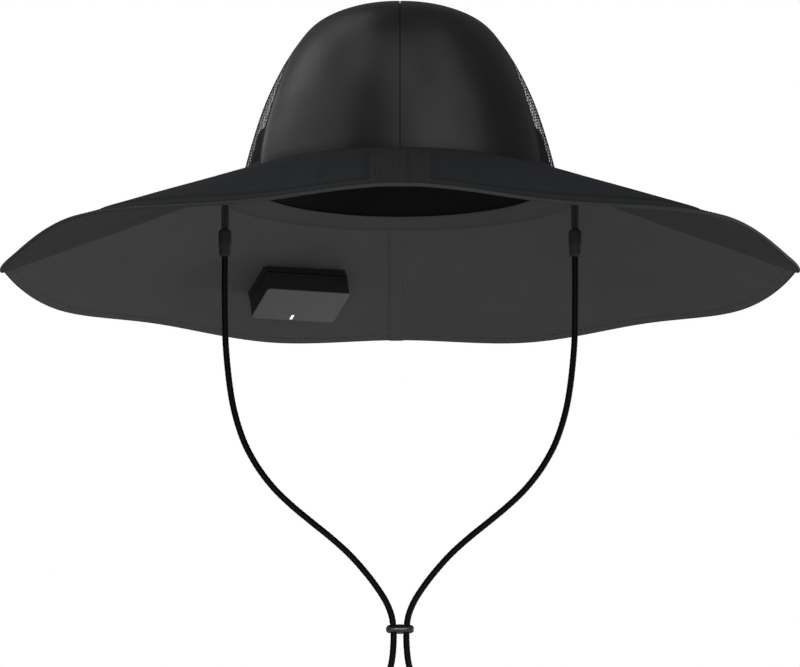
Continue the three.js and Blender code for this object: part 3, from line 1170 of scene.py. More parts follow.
        def place(u: float, v: float) -> Vector:
            """The hem's round section along the edge."""
            turn = 2 * math.pi * v
            outwards = self.gap / 3 + half_width * (1 - math.cos(turn))
            lift = half_height * math.sin(turn) - self.thickness / 2
            return self.edge_line(360 * u, outwards, lift)

        piece = sheet("brim_hem", columns=360, rows=12, place=place)
        close_up(piece, is_capped=False)
        smooth(piece, 80)
        wear(piece, HEM_TAPE_HIGHLIGHT)
        mount(piece, "brim_cloth", "brim_binding")

    def ring_point(self, angle: float, share: float, drop: float) -> Vector:
        """A point on the facing ring, by share of the way out and depth below its top, in mm.

        Args:
            angle: degrees from the front.
            share: how far out.
            drop: depth below its top.

        Returns:
            The point in metres.
        """
        half_x = self.ring_inner[0] + (self.ring_outer[0] - self.ring_inner[0]) * share
        half_y = self.ring_inner[1] + (self.ring_outer[1] - self.ring_inner[1]) * share
        turn = math.radians(angle)
        x, y = half_x * math.sin(turn), -half_y * math.cos(turn)
        return Vector((x, y, self.height(x, y) - self.thickness - self.gap - drop)) * MM

    def ring(self) -> None:
        """Makes the facing round the head opening, its edges turned and pressed."""

        def under(u: float, v: float) -> Vector:
            """The ring's lower face, rounded at both edges."""
            rounding = self.ring_rounding * (abs(2 * v - 1) ** 10) * self.ring_thickness
            return self.ring_point(360 * u, v, self.ring_thickness - rounding)

        piece = wall(
            "facing_ring",
            columns=180,
            rows=14,
            skin=lambda u, v: self.ring_point(360 * u, v, 0),
            back=under,
            is_ring=True,
        )
        smooth(piece, 50)
        wear(piece, FACING)
        mount(piece, "brim_cloth", "under_brim_ring")

    def stitches(self) -> None:
        """Sews the hem, the strips and the ring."""
        top, under = Stitching(), Stitching()
        share = 1 - self.hem_stitch_inset / (self.outer_x - self.inner_x)
        proud = self.stitch_proud
        for sewn, drop, sign in ((top, -proud, 1), (under, self.thickness + proud, -1)):
            sewn.row(
                lambda s, d=drop: self.point(360 * s - 180, share, d),
                lambda s, g=sign: self.normal(360 * s - 180, share) * g,
                steps=720,
            )
        for angle, front in ((0, -1), (180, 1)):
            for across in (-1, 1):
                for sewn, drop, sign in (
                    (top, -self.strip_proud, 1),
                    (under, self.thickness + self.strip_proud, -1),
                ):
                    sewn.row(
                        lambda s, a=across, f=front, d=drop: self.strip_line(s, a, f, d),
                        lambda s, a=angle, g=sign: self.normal(a, 0.5) * g,
                    )
        for x, start, end in self.front_rows:
            drop = -self.strip_proud if abs(x) < self.strip_width / 2 else -proud
            top.row(
                lambda s, x=x, a=start, b=end, d=drop: self.front_point(x, a + (b - a) * s, d),
                lambda s: self.normal(0, 0.5),
            )
        for share_out in self.ring_sewn:
            under.row(
                lambda s, o=share_out: self.ring_point(360 * s - 180, o, self.ring_thickness),
                lambda s: Vector((0, 0, -1)),
                steps=720,
            )
        mount(top.build("brim_stitches_top", TOP_THREAD), "brim_cloth")
        mount(under.build("brim_stitches_under", UNDER_THREAD), "brim_cloth")

    def front_point(self, x: float, share: float, drop: float) -> Vector:
        """A point near the front's middle, by its distance to the right and its share of the way out.

        Args:
            x: mm to the right.
            share: how far out.
            drop: how far below the top, in mm.

        Returns:
            The point in metres.
        """
        y = -self.oval(share)[1]
        return Vector((x, y, self.height(x, y) - drop)) * MM

    def strip_line(self, share: float, across: int, front: int, drop: float) -> Vector:
        """A point on a stitch row along a strip.

        Args:
            share: how far along the row.
            across: -1 for the row on the strip's left and 1 for the other.
            front: -1 for the front strip and 1 for the back one.
            drop: how far below the cloth's top, in mm.

        Returns:
            The point in metres.
        """
        middle = self.strip_middles[0 if front < 0 else 1]
        start, end = self.strip_sewn
        x = middle + across * (self.strip_width / 2 - self.strip_stitch_inset)
        y = front * self.oval(start + (end - start) * share)[1]
        return Vector((x, y, self.height(x, y) - drop)) * MM


@dataclass
class SolarArray:
    """Eight flexible laminates on the brim, between its ridges, each with rows of cells."""

    brim: Brim
    lift: float = 0.35
    thickness: float = 0.25
    fold_margin: float = 5.0
    centre_margin: float = 15.5
    crown_margin: float = 19.0
    edge_margin: float = 18.0
    corner: float = 5.0
    cell: float = 22.0
    cell_gap: float = 1.6
    frame_width: float = 4.0
    cell_proud: float = 0.03
    cell_corner: float = 0.1
    back_lift: float = 0.02
    edge_taper: float = 4.0
    edge_lift: float = 0.08
    sectors: tuple[tuple[str, float, float], ...] = (
        ("front", 0, 54),
        ("side_front", 54, 92),
        ("side_back", 92, 143),
        ("back", 143, 180),
    )

    def build(self) -> None:
        """Makes every laminate."""
        for side in Side:
            for name, start, end in self.sectors:
                self.laminate(name, start, end, side)

    def place(self, start: float, end: float, side: Side, u: float, v: float, lift: float) -> Vector:
        """A point over the brim, by shares across and out of a laminate's sector, at a height in mm.

        Args:
            start: the sector's first angle.
            end: the sector's last angle.
            side: the side of the hat.
            u: the share across.
            v: the share outwards.
            lift: the height over the cloth.

        Returns:
            The point in metres.
        """
        reach = self.brim.outer_x - self.brim.inner_x
        inner, outer = self.crown_margin / reach, 1 - self.edge_margin / reach
        share = inner + (outer - inner) * v
        first = self.centre_margin if start == 0 else self.fold_margin
        last = self.centre_margin if end == 180 else self.fold_margin
        low, high = start + self.brim.inset_angle(first, share), end - self.brim.inset_angle(last, share)
        return self.brim.rippled(side.value * (low + (high - low) * u), share, -lift)

    def laminate(self, name: str, start: float, end: float, side: Side) -> None:
        """Makes one laminate: a film slab with rounded corners, and its cells.

        Args:
            name: the sector's name.
            start: the sector's first angle.
            end: the sector's last angle.
            side: the side of the hat.
        """

        def raw(u: float, v: float, lift: float) -> Vector:
            """The laminate's sector before its corners are rounded."""
            return self.place(start, end, side, u, v, lift)

        top = self.lift + self.thickness
        depth = span([raw(0.5, i / 8, 0) for i in range(9)]) / MM
        outer = span([raw(i / 16, 1, 0) for i in range(17)]) / MM
        inner = span([raw(i / 16, 0, 0) for i in range(17)]) / MM

        def rounded(u_even: float, v_even: float, is_top: bool) -> Vector:
            """The laminate with rounded corners and thin edges."""
            u, v = (1 - math.cos(math.pi * u_even)) / 2, (1 - math.cos(math.pi * v_even)) / 2
            width = inner + (outer - inner) * v
            x, y = (u - 0.5) * width, (v - 0.5) * depth
            inwards = min(width / 2 - abs(x), depth / 2 - abs(y), self.edge_taper) / self.edge_taper
            height = top - self.edge_lift
            arch = self.edge_lift + height * math.sin(inwards * math.pi / 2)
            lift = arch if is_top else self.back_lift
            over_x = abs(x) - (width / 2 - self.corner)
            over_y = abs(y) - (depth / 2 - self.corner)
            if over_x > 0 and over_y > 0:
                pull = min(1.0, self.corner / math.hypot(over_x, over_y))
                x = math.copysign(width / 2 - self.corner + over_x * pull, x)
                y = math.copysign(depth / 2 - self.corner + over_y * pull, y)
            return raw(x / width + 0.5, y / depth + 0.5, lift)

        slab = wall(
            f"solar_laminate_{name}_{side.label}",
            columns=48,
            rows=36,
            skin=lambda u, v: rounded(u, v, True),
            back=lambda u, v: rounded(u, v, False),
        )
        smooth(slab, 40)
        wear(slab, FILM, CELL)
        for polygon in slab.data.polygons:
            polygon.material_index = 0
        cells = []
        rows = max(1, round((depth - 2 * self.frame_width) / self.cell))
        v_edges = np.linspace(self.frame_width / depth, 1 - self.frame_width / depth, rows + 1)
        for row in range(rows):
            width = inner + (outer - inner) * (v_edges[row] + v_edges[row + 1]) / 2
            columns = max(1, round((width - 2 * self.frame_width) / self.cell))
            u_edges = np.linspace(self.frame_width / width, 1 - self.frame_width / width, columns + 1)
            half_u, half_v = self.cell_gap / 2 / width, self.cell_gap / 2 / depth
            for column in range(columns):
                u0, u1 = u_edges[column] + half_u, u_edges[column + 1] - half_u
                v0, v1 = v_edges[row] + half_v, v_edges[row + 1] - half_v
                cells.append(self.cell_patch(raw, (u0, u1), (v0, v1), top + self.cell_proud))
        piece = joined([slab, *cells])
        mount(piece, "solar_laminate", f"solar_panel_{name}_{side.label}")

    def cell_patch(self, raw: Callable, us: tuple, vs: tuple, lift: float) -> Object:
        """One cell with cut corners, standing a hair over the film.

        Args:
            raw: the laminate's surface.
            us: the cell's limits across, as shares.
            vs: the cell's limits outwards, as shares.
            lift: the cell's height over the brim, in mm.

        Returns:
            The cell.
        """

        def place(u: float, v: float, height: float) -> Vector:
            """The cell's square with its corners drawn in."""
            a, b = 2 * u - 1, 2 * v - 1
            over = abs(a) + abs(b) - (2 - 2 * self.cell_corner)
            if over > 0:
                a -= math.copysign(over / 2, a)
                b -= math.copysign(over / 2, b)
            u_at = us[0] + (us[1] - us[0]) * (a + 1) / 2
            v_at = vs[0] + (vs[1] - vs[0]) * (b + 1) / 2
            return raw(u_at, v_at, height)

        patch = wall(
            "cell",
            columns=10,
            rows=10,
            skin=lambda u, v: place(u, v, lift),
            back=lambda u, v: place(u, v, lift - 2 * self.cell_proud),
        )
        smooth(patch, 40)
        wear(patch, FILM, CELL)
        for polygon in patch.data.polygons:
            polygon.material_index = 1
        return patch


class Seam(Enum):
    """A seam of the crown, by its angle from the front at shares of the way up the profile."""

    FRONT = ((0, 0), (1, 0))
    SIDE = ((0, 60.8), (0.12, 63.9), (0.32, 65.6), (0.44, 70.4), (0.54, 79), (0.7, 86), (1, 90))
    REAR = ((0, 120), (1, 135))
    BACK = ((0, 180), (1, 180))

    def __init__(self, *rows: tuple[float, float]) -> None:
        """Works out the seam's angles at even shares."""
        walk = smooth_walk(rows)
        self.angles = np.interp(np.linspace(0, 1, 401), walk[:, 0], walk[:, 1]).tolist()

    def angle(self, share: float) -> float:
        """The seam's angle in degrees at a share of the way up."""
        at = min(max(share, 0.0), 1.0) * (len(self.angles) - 1)
        index = min(int(at), len(self.angles) - 2)
        return self.angles[index] + (self.angles[index + 1] - self.angles[index]) * (at - index)


@dataclass
class Crown:
    """The crown: two satin panels in front, four mesh panels, and the sweatband inside."""

    brim: Brim
    length_for_width: float = 1.125
    cloth: float = 1.0
    net: float = 0.1
    front_dip: float = 0.3
    side_dip: float = 0.6
    seam_reach: float = 9.0
    # How steeply the dips end below the top, by share of the way up
    dip_end: float = 2.2
    # The satin's turned edge: how far from the seam, and how far sunk, for its first columns
    turned_edge: tuple[tuple[float, float], ...] = ((0.0, 1.3), (0.17, 1.1), (0.2, 0.0), (0.6, 0.0))
    front_columns: int = 52
    foot_reach: float = 2.0
    foot_lift: float = 0.05
    net_pitch: float = 1.9
    net_strand: float = 0.4
    net_margin: float = 1.2
    net_depth: float = 0.25
    net_top: float = 0.985
    hem_width: float = 2.2
    hem_thickness: float = 1.0
    hem_proud: float = 0.1
    hem_rounding: float = 0.25
    hem_top: float = 0.996
    # A mean radius of the crown, by which the net's UV map turns angles into lengths
    mean_radius: float = 80.0
    band_inset: float = 2.2
    band_thickness: float = 1.8
    band_bottom: float = -1.6
    band_top: float = 24.0
    band_rounding: float = 0.48
    profile: tuple[tuple[float, float], ...] = (
        (0.5, 85.4),
        (20, 80.3),
        (40, 73.9),
        (58, 65.9),
        (72, 57.7),
        (84, 47.3),
        (91.3, 33.2),
        (94.9, 17.4),
        (96.3, 0),
    )

    def __post_init__(self) -> None:
        """Walks the profile as one smooth curve, so that it can be read by its own length."""
        self._walk = smooth_walk([(half, height) for height, half in self.profile])
        steps = np.linalg.norm(np.diff(self._walk, axis=0), axis=1)
        self._gone = np.concatenate([[0.0], np.cumsum(steps)])

    @property
    def rise(self) -> float:
        """The length of the profile from the brim to the top, in mm."""
        return float(self._gone[-1])

    def section(self, share: float) -> tuple[float, float]:
        """The crown's half width and height in mm, by share of its profile's length."""
        at = share * self._gone[-1]
        half = float(np.interp(at, self._gone, self._walk[:, 0]))
        height = float(np.interp(at, self._gone, self._walk[:, 1]))
        return half, height

    def smooth_point(self, angle: float, share: float) -> Vector:
        """A point on the crown's form, in mm."""
        half, height = self.section(share)
        turn = math.radians(angle)
        return Vector((half * math.sin(turn), -half * self.length_for_width * math.cos(turn), height))

    def outward(self, angle: float, share: float) -> Vector:
        """The way out of the crown's form.

        Args:
            angle: degrees from the front.
            share: how far up the profile.

        Returns:
            The unit normal.
        """
        step = 0.01
        at = min(max(share, step), 1 - 2 * step)
        around = self.smooth_point(angle + 1, at) - self.smooth_point(angle - 1, at)
        upwards = self.smooth_point(angle, at + step) - self.smooth_point(angle, at - step)
        return around.cross(upwards).normalized()

    def reach(self, angle: float, share: float) -> float:
        """Millimetres for each degree round the crown."""
        return (self.smooth_point(angle + 0.5, share) - self.smooth_point(angle - 0.5, share)).length

    def point(self, angle: float, share: float, depth: float = 0.0) -> Vector:
        """A point on the sewn crown, whose panels dip towards their seams.

        Args:
            angle: degrees from the front.
            share: how far up the profile.
            depth: how far inside the skin, in mm.

        Returns:
            The point in metres.
        """
        seam = min(Seam, key=lambda one: abs(abs(angle) - one.angle(share)))
        near = abs(abs(angle) - seam.angle(share)) * self.reach(angle, share)
        deepest = self.front_dip if seam is Seam.FRONT else self.side_dip
        dip = deepest * math.exp(-near / self.seam_reach) * min(1.0, (1 - share) * self.dip_end)
        at = self.smooth_point(angle, share) - self.outward(angle, share) * (dip + depth)
        foot = 1 - share * self.rise / self.foot_reach
        if foot > 0:
            at.z += (self.brim.height(at.x, at.y) + self.foot_lift - at.z) * foot
        return at * MM

    def build(self) -> None:
        """Makes every piece of the crown."""
        for side in Side:
            self.front(side)
            self.mesh_panel("side", Seam.SIDE, Seam.REAR, side)
            self.mesh_panel("back", Seam.REAR, Seam.BACK, side)
        self.band()

    def front(self, side: Side) -> None:
        """Makes a satin panel with its edges turned in along the seams.

        Args:
            side: the panel's side.
        """
        turned, columns = self.turned_edge, self.front_columns
        # The panel narrows to a point at the top, so it stops just short and its turned edge has limits
        last_share, least_unit, widest_edge, turn_end = 0.9995, 0.02, 20, 10

        def place(u: float, v: float, depth: float) -> Vector:
            """The satin at a depth, with its edge columns close to the seams."""
            column = round(u * columns)
            share = min(v, last_share)
            start, end = Seam.FRONT.angle(share), Seam.SIDE.angle(share)
            unit = max(self.reach(side.value * (start + end) / 2, share), least_unit)
            if column < len(turned):
                away, sunk = turned[column]
                angle = start + min(away / unit, (end - start) / 2)
            elif column > columns - len(turned):
                away, sunk = turned[columns - column]
                angle = end - min(away / unit, (end - start) / 2)
            else:
                first = min(turned[-1][0] / unit, widest_edge)
                part = (column - len(turned) + 1) / (columns - 2 * len(turned) + 2)
                low, high = start + first, end - first
                angle, sunk = low + (high - low) * part, 0.0
            quiet = min(1.0, (1 - share) * turn_end)
            return self.point(side.value * angle, share, sunk * quiet + depth)

        piece = wall(
            f"crown_satin_{side.label}",
            columns=columns,
            rows=72,
            skin=lambda u, v: place(u, v, 0),
            back=lambda u, v: place(u, v, self.cloth),
        )
        smooth(piece, 60)
        wear(piece, SATIN)
        mount(piece, "crown_cloth", f"crown_front_{side.label}")

    def mesh_panel(self, name: str, start: Seam, end: Seam, side: Side) -> None:
        """Makes a panel of real mesh with a taped hem along its seams and its foot.

        Args:
            name: the panel's name.
            start: the seam in front of it.
            end: the seam behind it.
            side: the panel's side.
        """
        rise, margin = self.rise, self.net_margin
        # The net lies at 45 degrees, and a square half as wide again as the panel's rise covers it
        count = round(1.5 * rise / self.net_pitch)
        bpy.ops.mesh.primitive_grid_add(
            x_subdivisions=count,
            y_subdivisions=count,
            size=count * self.net_pitch,
            location=(0, rise / 2, 0),
            rotation=(0, 0, math.pi / 4),
        )
        net = named(bpy.context.object, f"crown_mesh_{name}_net_{side.label}")
        settle(net)

        def middle(share: float) -> float:
            """The panel's middle angle at a share of the way up."""
            return (start.angle(share) + end.angle(share)) / 2

        def half_width(along: float) -> float:
            """Half of the panel's width in mm at a length up its profile."""
            share = min(max(along / rise, 0), 1)
            half_angle = (end.angle(share) - start.angle(share)) / 2
            return half_angle * self.reach(middle(share), share) - margin

        def is_outside(at: Vector) -> bool:
            """Whether a place of the flat net lies outside the panel."""
            return not (margin < at.y < rise * self.net_top and abs(at.x) < half_width(at.y))

        bpy.ops.object.mode_set(mode="EDIT")
        pick(net, Pick.FACE, is_outside)
        bpy.ops.mesh.delete(type="FACE")
        bpy.ops.mesh.select_all(action="SELECT")
        bpy.ops.mesh.inset(thickness=self.net_strand / 2, depth=0, use_individual=True)
        bpy.ops.mesh.delete(type="FACE")
        bpy.ops.object.mode_set(mode="OBJECT")

        def laid(at: Vector) -> Vector:
            """Where a place of the flat net comes to lie on the crown."""
            share = min(max(at.y / rise, 0), 0.999)
            angle = middle(share) + at.x / self.reach(middle(share), share)
            return self.point(side.value * angle, share, self.net_depth)

        move_points(net, laid)
        self.flat_uv(net)
        modify(net, "SOLIDIFY", thickness=self.net * MM, offset=0)
        strips = [net]
        for label, seam, inwards in (("a", start, 1), ("b", end, -1)):
            strips.append(self.hem(f"hem_{label}", seam, inwards, side))
        strips.append(self.foot("foot", start, end, side))
        piece = joined(strips)
        wear(piece, NET)
        smooth(piece, 40)
        mount(piece, "crown_mesh", f"crown_mesh_{name}_{side.label}")

    def flat_uv(self, piece: Object) -> None:
        """Sets a UV map in metres from the height and the distance round the crown.

        Args:
            piece: the net, in its place.
        """
        layer = piece.data.uv_layers[0].data
        for loop in piece.data.loops:
            at = piece.data.vertices[loop.vertex_index].co
            layer[loop.index].uv = (math.atan2(at.x, -at.y) * self.mean_radius * MM, at.z)

    def hem(self, name: str, seam: Seam, inwards: int, side: Side) -> Object:
        """Makes the tape over a mesh panel's edge, along a seam.

        Args:
            name: the tape's name.
            seam: the seam.
            inwards: 1 where the panel lies behind the seam and -1 where it lies in front.
            side: the panel's side.

        Returns:
            The tape.
        """
        # How far the tape starts from the seam in mm, and how many degrees it spans at most near the top
        beside, widest = 0.1, 22

        def place(u: float, v: float, depth: float) -> Vector:
            """The tape at a depth, rounded across."""
            share = self.hem_top * v
            at = seam.angle(share)
            away = min((beside + self.hem_width * u) / self.reach(at, share), widest)
            rounding = self.hem_rounding * (2 * u - 1) ** 4
            depth += rounding - self.hem_proud
            return self.point(side.value * (at + inwards * away), share, depth)

        return wall(
            name,
            columns=4,
            rows=60,
            skin=lambda u, v: place(u, v, 0),
            back=lambda u, v: place(u, v, self.hem_thickness),
        )

    def foot(self, name: str, start: Seam, end: Seam, side: Side) -> Object:
        """Makes the tape along a mesh panel's foot.

        Args:
            name: the tape's name.
            start: the seam in front of the panel.
            end: the seam behind it.
            side: the panel's side.

        Returns:
            The tape.
        """

        def place(u: float, v: float, depth: float) -> Vector:
            """The tape at a depth, level along the foot."""
            share = v * self.hem_width / self.rise
            low, high = start.angle(share), end.angle(share)
            return self.point(side.value * (low + (high - low) * u), share, depth - self.hem_proud)

        return wall(
            name,
            columns=40,
            rows=4,
            skin=lambda u, v: place(u, v, 0),
            back=lambda u, v: place(u, v, self.hem_thickness),
        )

    def half_at(self, height: float) -> float:
        """The crown's half width in mm at a height."""
        return float(np.interp(height, self._walk[:, 1], self._walk[:, 0]))

    def band(self) -> None:
        """Makes the sweatband: a soft band with rounded edges."""

        def place(u: float, v: float, inset: float) -> Vector:
            """The band at a distance inside the crown."""
            height = self.band_bottom + (self.band_top - self.band_bottom) * v
            half = self.half_at(max(height, self.profile[0][0])) - inset
            turn = 2 * math.pi * u
            length = half * self.length_for_width
            return Vector((half * math.sin(turn), -length * math.cos(turn), height)) * MM

        def inside(u: float, v: float) -> Vector:
            """The band's inner face, rounded at both edges."""
            rounding = self.band_rounding * abs(2 * v - 1) ** 6
            return place(u, v, self.band_inset + self.band_thickness * (1 - rounding))

        piece = wall(
            "sweatband_terry",
            columns=180,
            rows=16,
            skin=lambda u, v: place(u, v, self.band_inset),
            back=inside,
            is_ring=True,
        )
        smooth(piece, 60)
        wear(piece, KNIT)
        mount(piece, "sweatband_cloth", "sweatband")


@dataclass
class PowerBox:
    """The box under the brim: a moulded case with two recessed sockets and a small lamp."""

    brim: Brim
    width: float = 49.7
    depth: float = 33.0
    height: float = 17.0
    x: float = -58.6
    y: float = 150.0
    turn: float = 20.0
    slope: float = 21.0
    corner: float = 2.5
    bevel: float = 0.8
    # How far the block starts above the cloth, before its top is drawn down to it
    tuck: float = 4.0
    seat_gap: float = 0.4
    groove: tuple[float, float] = (-5.5, -5.0)
    groove_depth: float = 0.45
    socket: tuple[float, float, float] = (9.2, 3.4, 7.0)
    socket_spacing: float = 15.0
    socket_from_base: float = 7.5
    socket_corner: float = 1.2
    shell_gap: float = 0.4
    shell_metal: float = 0.4
    shell_depth: float = 5.8
    shell_corner: float = 1.0
    bore_corner: float = 0.7
    tongue: tuple[float, float, float] = (5.8, 4.6, 0.7)
    tongue_bevel: float = 0.15
    light: tuple[float, float, float] = (1.8, 5.0, 1.2)
    light_from_outer: float = 3.8
    light_from_middle: float = -1.3
    lamp_gap: float = 0.15
    lamp_proud: float = 0.05
    lamp_bevel: float = 0.3

    def frame(self) -> Matrix:
        """The box's own place: x round the brim, y outwards and down, z up into the cloth.

        Returns:
            The matrix from the box's own place to the hat's.
        """
        turn, slope = math.radians(self.turn), math.radians(self.slope)
        outwards = Vector((-math.sin(turn), math.cos(turn), 0))
        along = Vector((outwards.y, -outwards.x, 0))
        down = Vector((outwards.x * math.cos(slope), outwards.y * math.cos(slope), -math.sin(slope)))
        up = along.cross(down)
        base = Vector((self.x, self.y, self.brim.height(self.x, self.y) - self.brim.thickness)) * MM
        return Matrix.Translation(base) @ Matrix((along, down, up)).transposed().to_4x4()

    def block(self, name: str, size: Sequence[float], middle: Sequence[float]) -> Object:
        """Adds a block in the box's own place, sizes in mm, still square.

        Args:
            name: the block's name.
            size: its three sizes.
            middle: its middle.

        Returns:
            The block.
        """
        bpy.ops.mesh.primitive_cube_add(size=1)
        piece = named(bpy.context.object, name)
        piece.scale = [side * MM for side in size]
        piece.location = [side * MM for side in middle]
        settle(piece)
        return piece

    def build(self) -> None:
        """Makes the case, the inserts of its sockets and its lamp."""
        place = self.frame()
        case = self.case()
        case.data.transform(place)
        self.seat(case)
        smooth(case, 35)
        self.dress(case, place.inverted())
        mount(case, "box_plastic", "power_box_housing")
        for index, side in enumerate((-1, 1)):
            self.port(index, side, place)
        self.lamp(place)

    def dress(self, case: Object, back: Matrix) -> None:
        """Gives the outer face its grey, the walls their painted shade, lighter above the groove, and the
        groove its near-black painted shade.

        Args:
            case: the case, in its place.
            back: turns a place on the hat into the box's own.
        """
        finishes = (BOX_WALL_SHADE, BOX_ABS, BOX_UPPER_WALL_SHADE, GROOVE_SHADE)
        wear(case, *finishes)
        low, high = self.groove
        slack = 0.01
        turned = back.to_3x3()
        for face in case.data.polygons:
            level = (back @ face.center).z / MM
            looks_out = (turned @ face.normal).z < -0.5
            # Painted shade: near-black in the groove, and the walls darker below the groove than above it
            if low - slack < level < high + slack:
                finish = GROOVE_SHADE
            elif level > high:
                finish = BOX_UPPER_WALL_SHADE
            elif level < self.bevel - self.height and looks_out:
                finish = BOX_ABS
            else:
                finish = BOX_WALL_SHADE
            face.material_index = finishes.index(finish)

    def case(self) -> Object:
        """Shapes the case from a block: rounded corners, a parting groove, sockets and a lamp slot.

        Returns:
            The case, in the box's own place.
        """
        centre = (self.tuck - self.height) / 2
        case = self.block("power_case", (self.width, self.depth, self.height + self.tuck), (0, 0, centre))
        bpy.ops.object.mode_set(mode="EDIT")
        middle = centre * MM
        # The four upright edges
        pick(case, Pick.EDGE, lambda at: abs(at.z - middle) < MM and min(abs(at.x), abs(at.y)) > 5 * MM)
        bpy.ops.mesh.bevel(offset=self.corner * MM, segments=6, affect="EDGES")
        # The edges round the outer face
        pick(case, Pick.EDGE, lambda at: at.z < (0.1 - self.height) * MM)
        bpy.ops.mesh.bevel(offset=self.bevel * MM, segments=4, affect="EDGES")
        for level in self.groove:
            bpy.ops.mesh.select_all(action="SELECT")
            bpy.ops.mesh.bisect(plane_co=(0, 0, level * MM), plane_no=(0, 0, 1))
        # The belt of faces between the groove's two levels
        low, high = (level * MM for level in self.groove)
        pick(case, Pick.FACE, lambda at: low < at.z < high and max(abs(at.x), abs(at.y)) > 10 * MM)
        inwards = {"value": -self.groove_depth * MM}
        bpy.ops.mesh.extrude_region_shrink_fatten(TRANSFORM_OT_shrink_fatten=inwards)
        bpy.ops.object.mode_set(mode="OBJECT")
        for side in (-1, 1):
            x = side * self.socket_spacing / 2
            mouth = self.block(
                "mouth",
                (self.socket[0], 2 * self.socket[2], self.socket[1]),
                (x, self.depth / 2, -self.socket_from_base),
            )
            modify(mouth, "BEVEL", width=self.socket_corner * MM, segments=4, limit_method="ANGLE")
            cut(case, mouth)
        slot = self.block(
            "slot",
            (self.light[0], self.light[1], 2 * self.light[2]),
            (self.light_from_middle, self.depth / 2 - self.light_from_outer, -self.height),
        )
        cut(case, slot)
        return case

    def seat(self, case: Object) -> None:
        """Draws the top of the case down to the brim's underside.

        Args:
            case: the case, on the hat.
        """

        def rule(at: Vector) -> Vector:
            """Keeps a point under the cloth where it belongs to the box's top."""
            if (place_back @ at).z < 0.5 * MM:
                return at
            ceiling = (self.brim.height(at.x / MM, at.y / MM) - self.brim.thickness - self.seat_gap) * MM
            return Vector((at.x, at.y, min(at.z, ceiling)))

        place_back = self.frame().inverted()
        move_points(case, rule)

    def port(self, index: int, side: int, place: Matrix) -> None:
        """Makes the metal shell and tongue inside a socket.

        Args:
            index: the socket's number, from zero.
            side: -1 or 1, the socket's side of the middle.
            place: the box's place on the hat.
        """
        wide, tall, deep = self.socket
        gap = self.shell_gap
        inside = 2 * (gap + self.shell_metal)
        x, z = side * self.socket_spacing / 2, -self.socket_from_base
        y = self.depth / 2 - deep / 2 - gap
        shell = self.block("shell", (wide - 2 * gap, self.shell_depth, tall - 2 * gap), (x, y, z))
        modify(shell, "BEVEL", width=self.shell_corner * MM, segments=4, limit_method="ANGLE")
        # The bore is as long as the socket and set 1 mm outwards, so that the shell keeps a back wall
        bore = self.block("bore", (wide - inside, deep, tall - inside), (x, y + 1, z))
        modify(bore, "BEVEL", width=self.bore_corner * MM, segments=4, limit_method="ANGLE")
        cut(shell, bore)
        tongue = self.block("tongue", self.tongue, (x, y - gap, z))
        modify(tongue, "BEVEL", width=self.tongue_bevel * MM, segments=2)
        piece = named(joined([shell, tongue]), f"power_port_{index + 1}")
        piece.data.transform(place)
        smooth(piece, 35)
        wear(piece, PORT_METAL)
        mount(piece, "box_plastic")

    def lamp(self, place: Matrix) -> None:
        """Makes the light pipe in its slot.

        Args:
            place: the box's place on the hat.
        """
        wide, long, deep = self.light
        gaps = 2 * self.lamp_gap
        y, z = self.depth / 2 - self.light_from_outer, deep / 2 - self.height - self.lamp_proud
        lamp = self.block("power_lamp", (wide - gaps, long - gaps, deep), (self.light_from_middle, y, z))
        modify(lamp, "BEVEL", width=self.lamp_bevel * MM, segments=3)
        lamp.data.transform(place)
        smooth(lamp, 35)
        wear(lamp, LAMP)
        mount(lamp, "light_lens", "power_box_light")


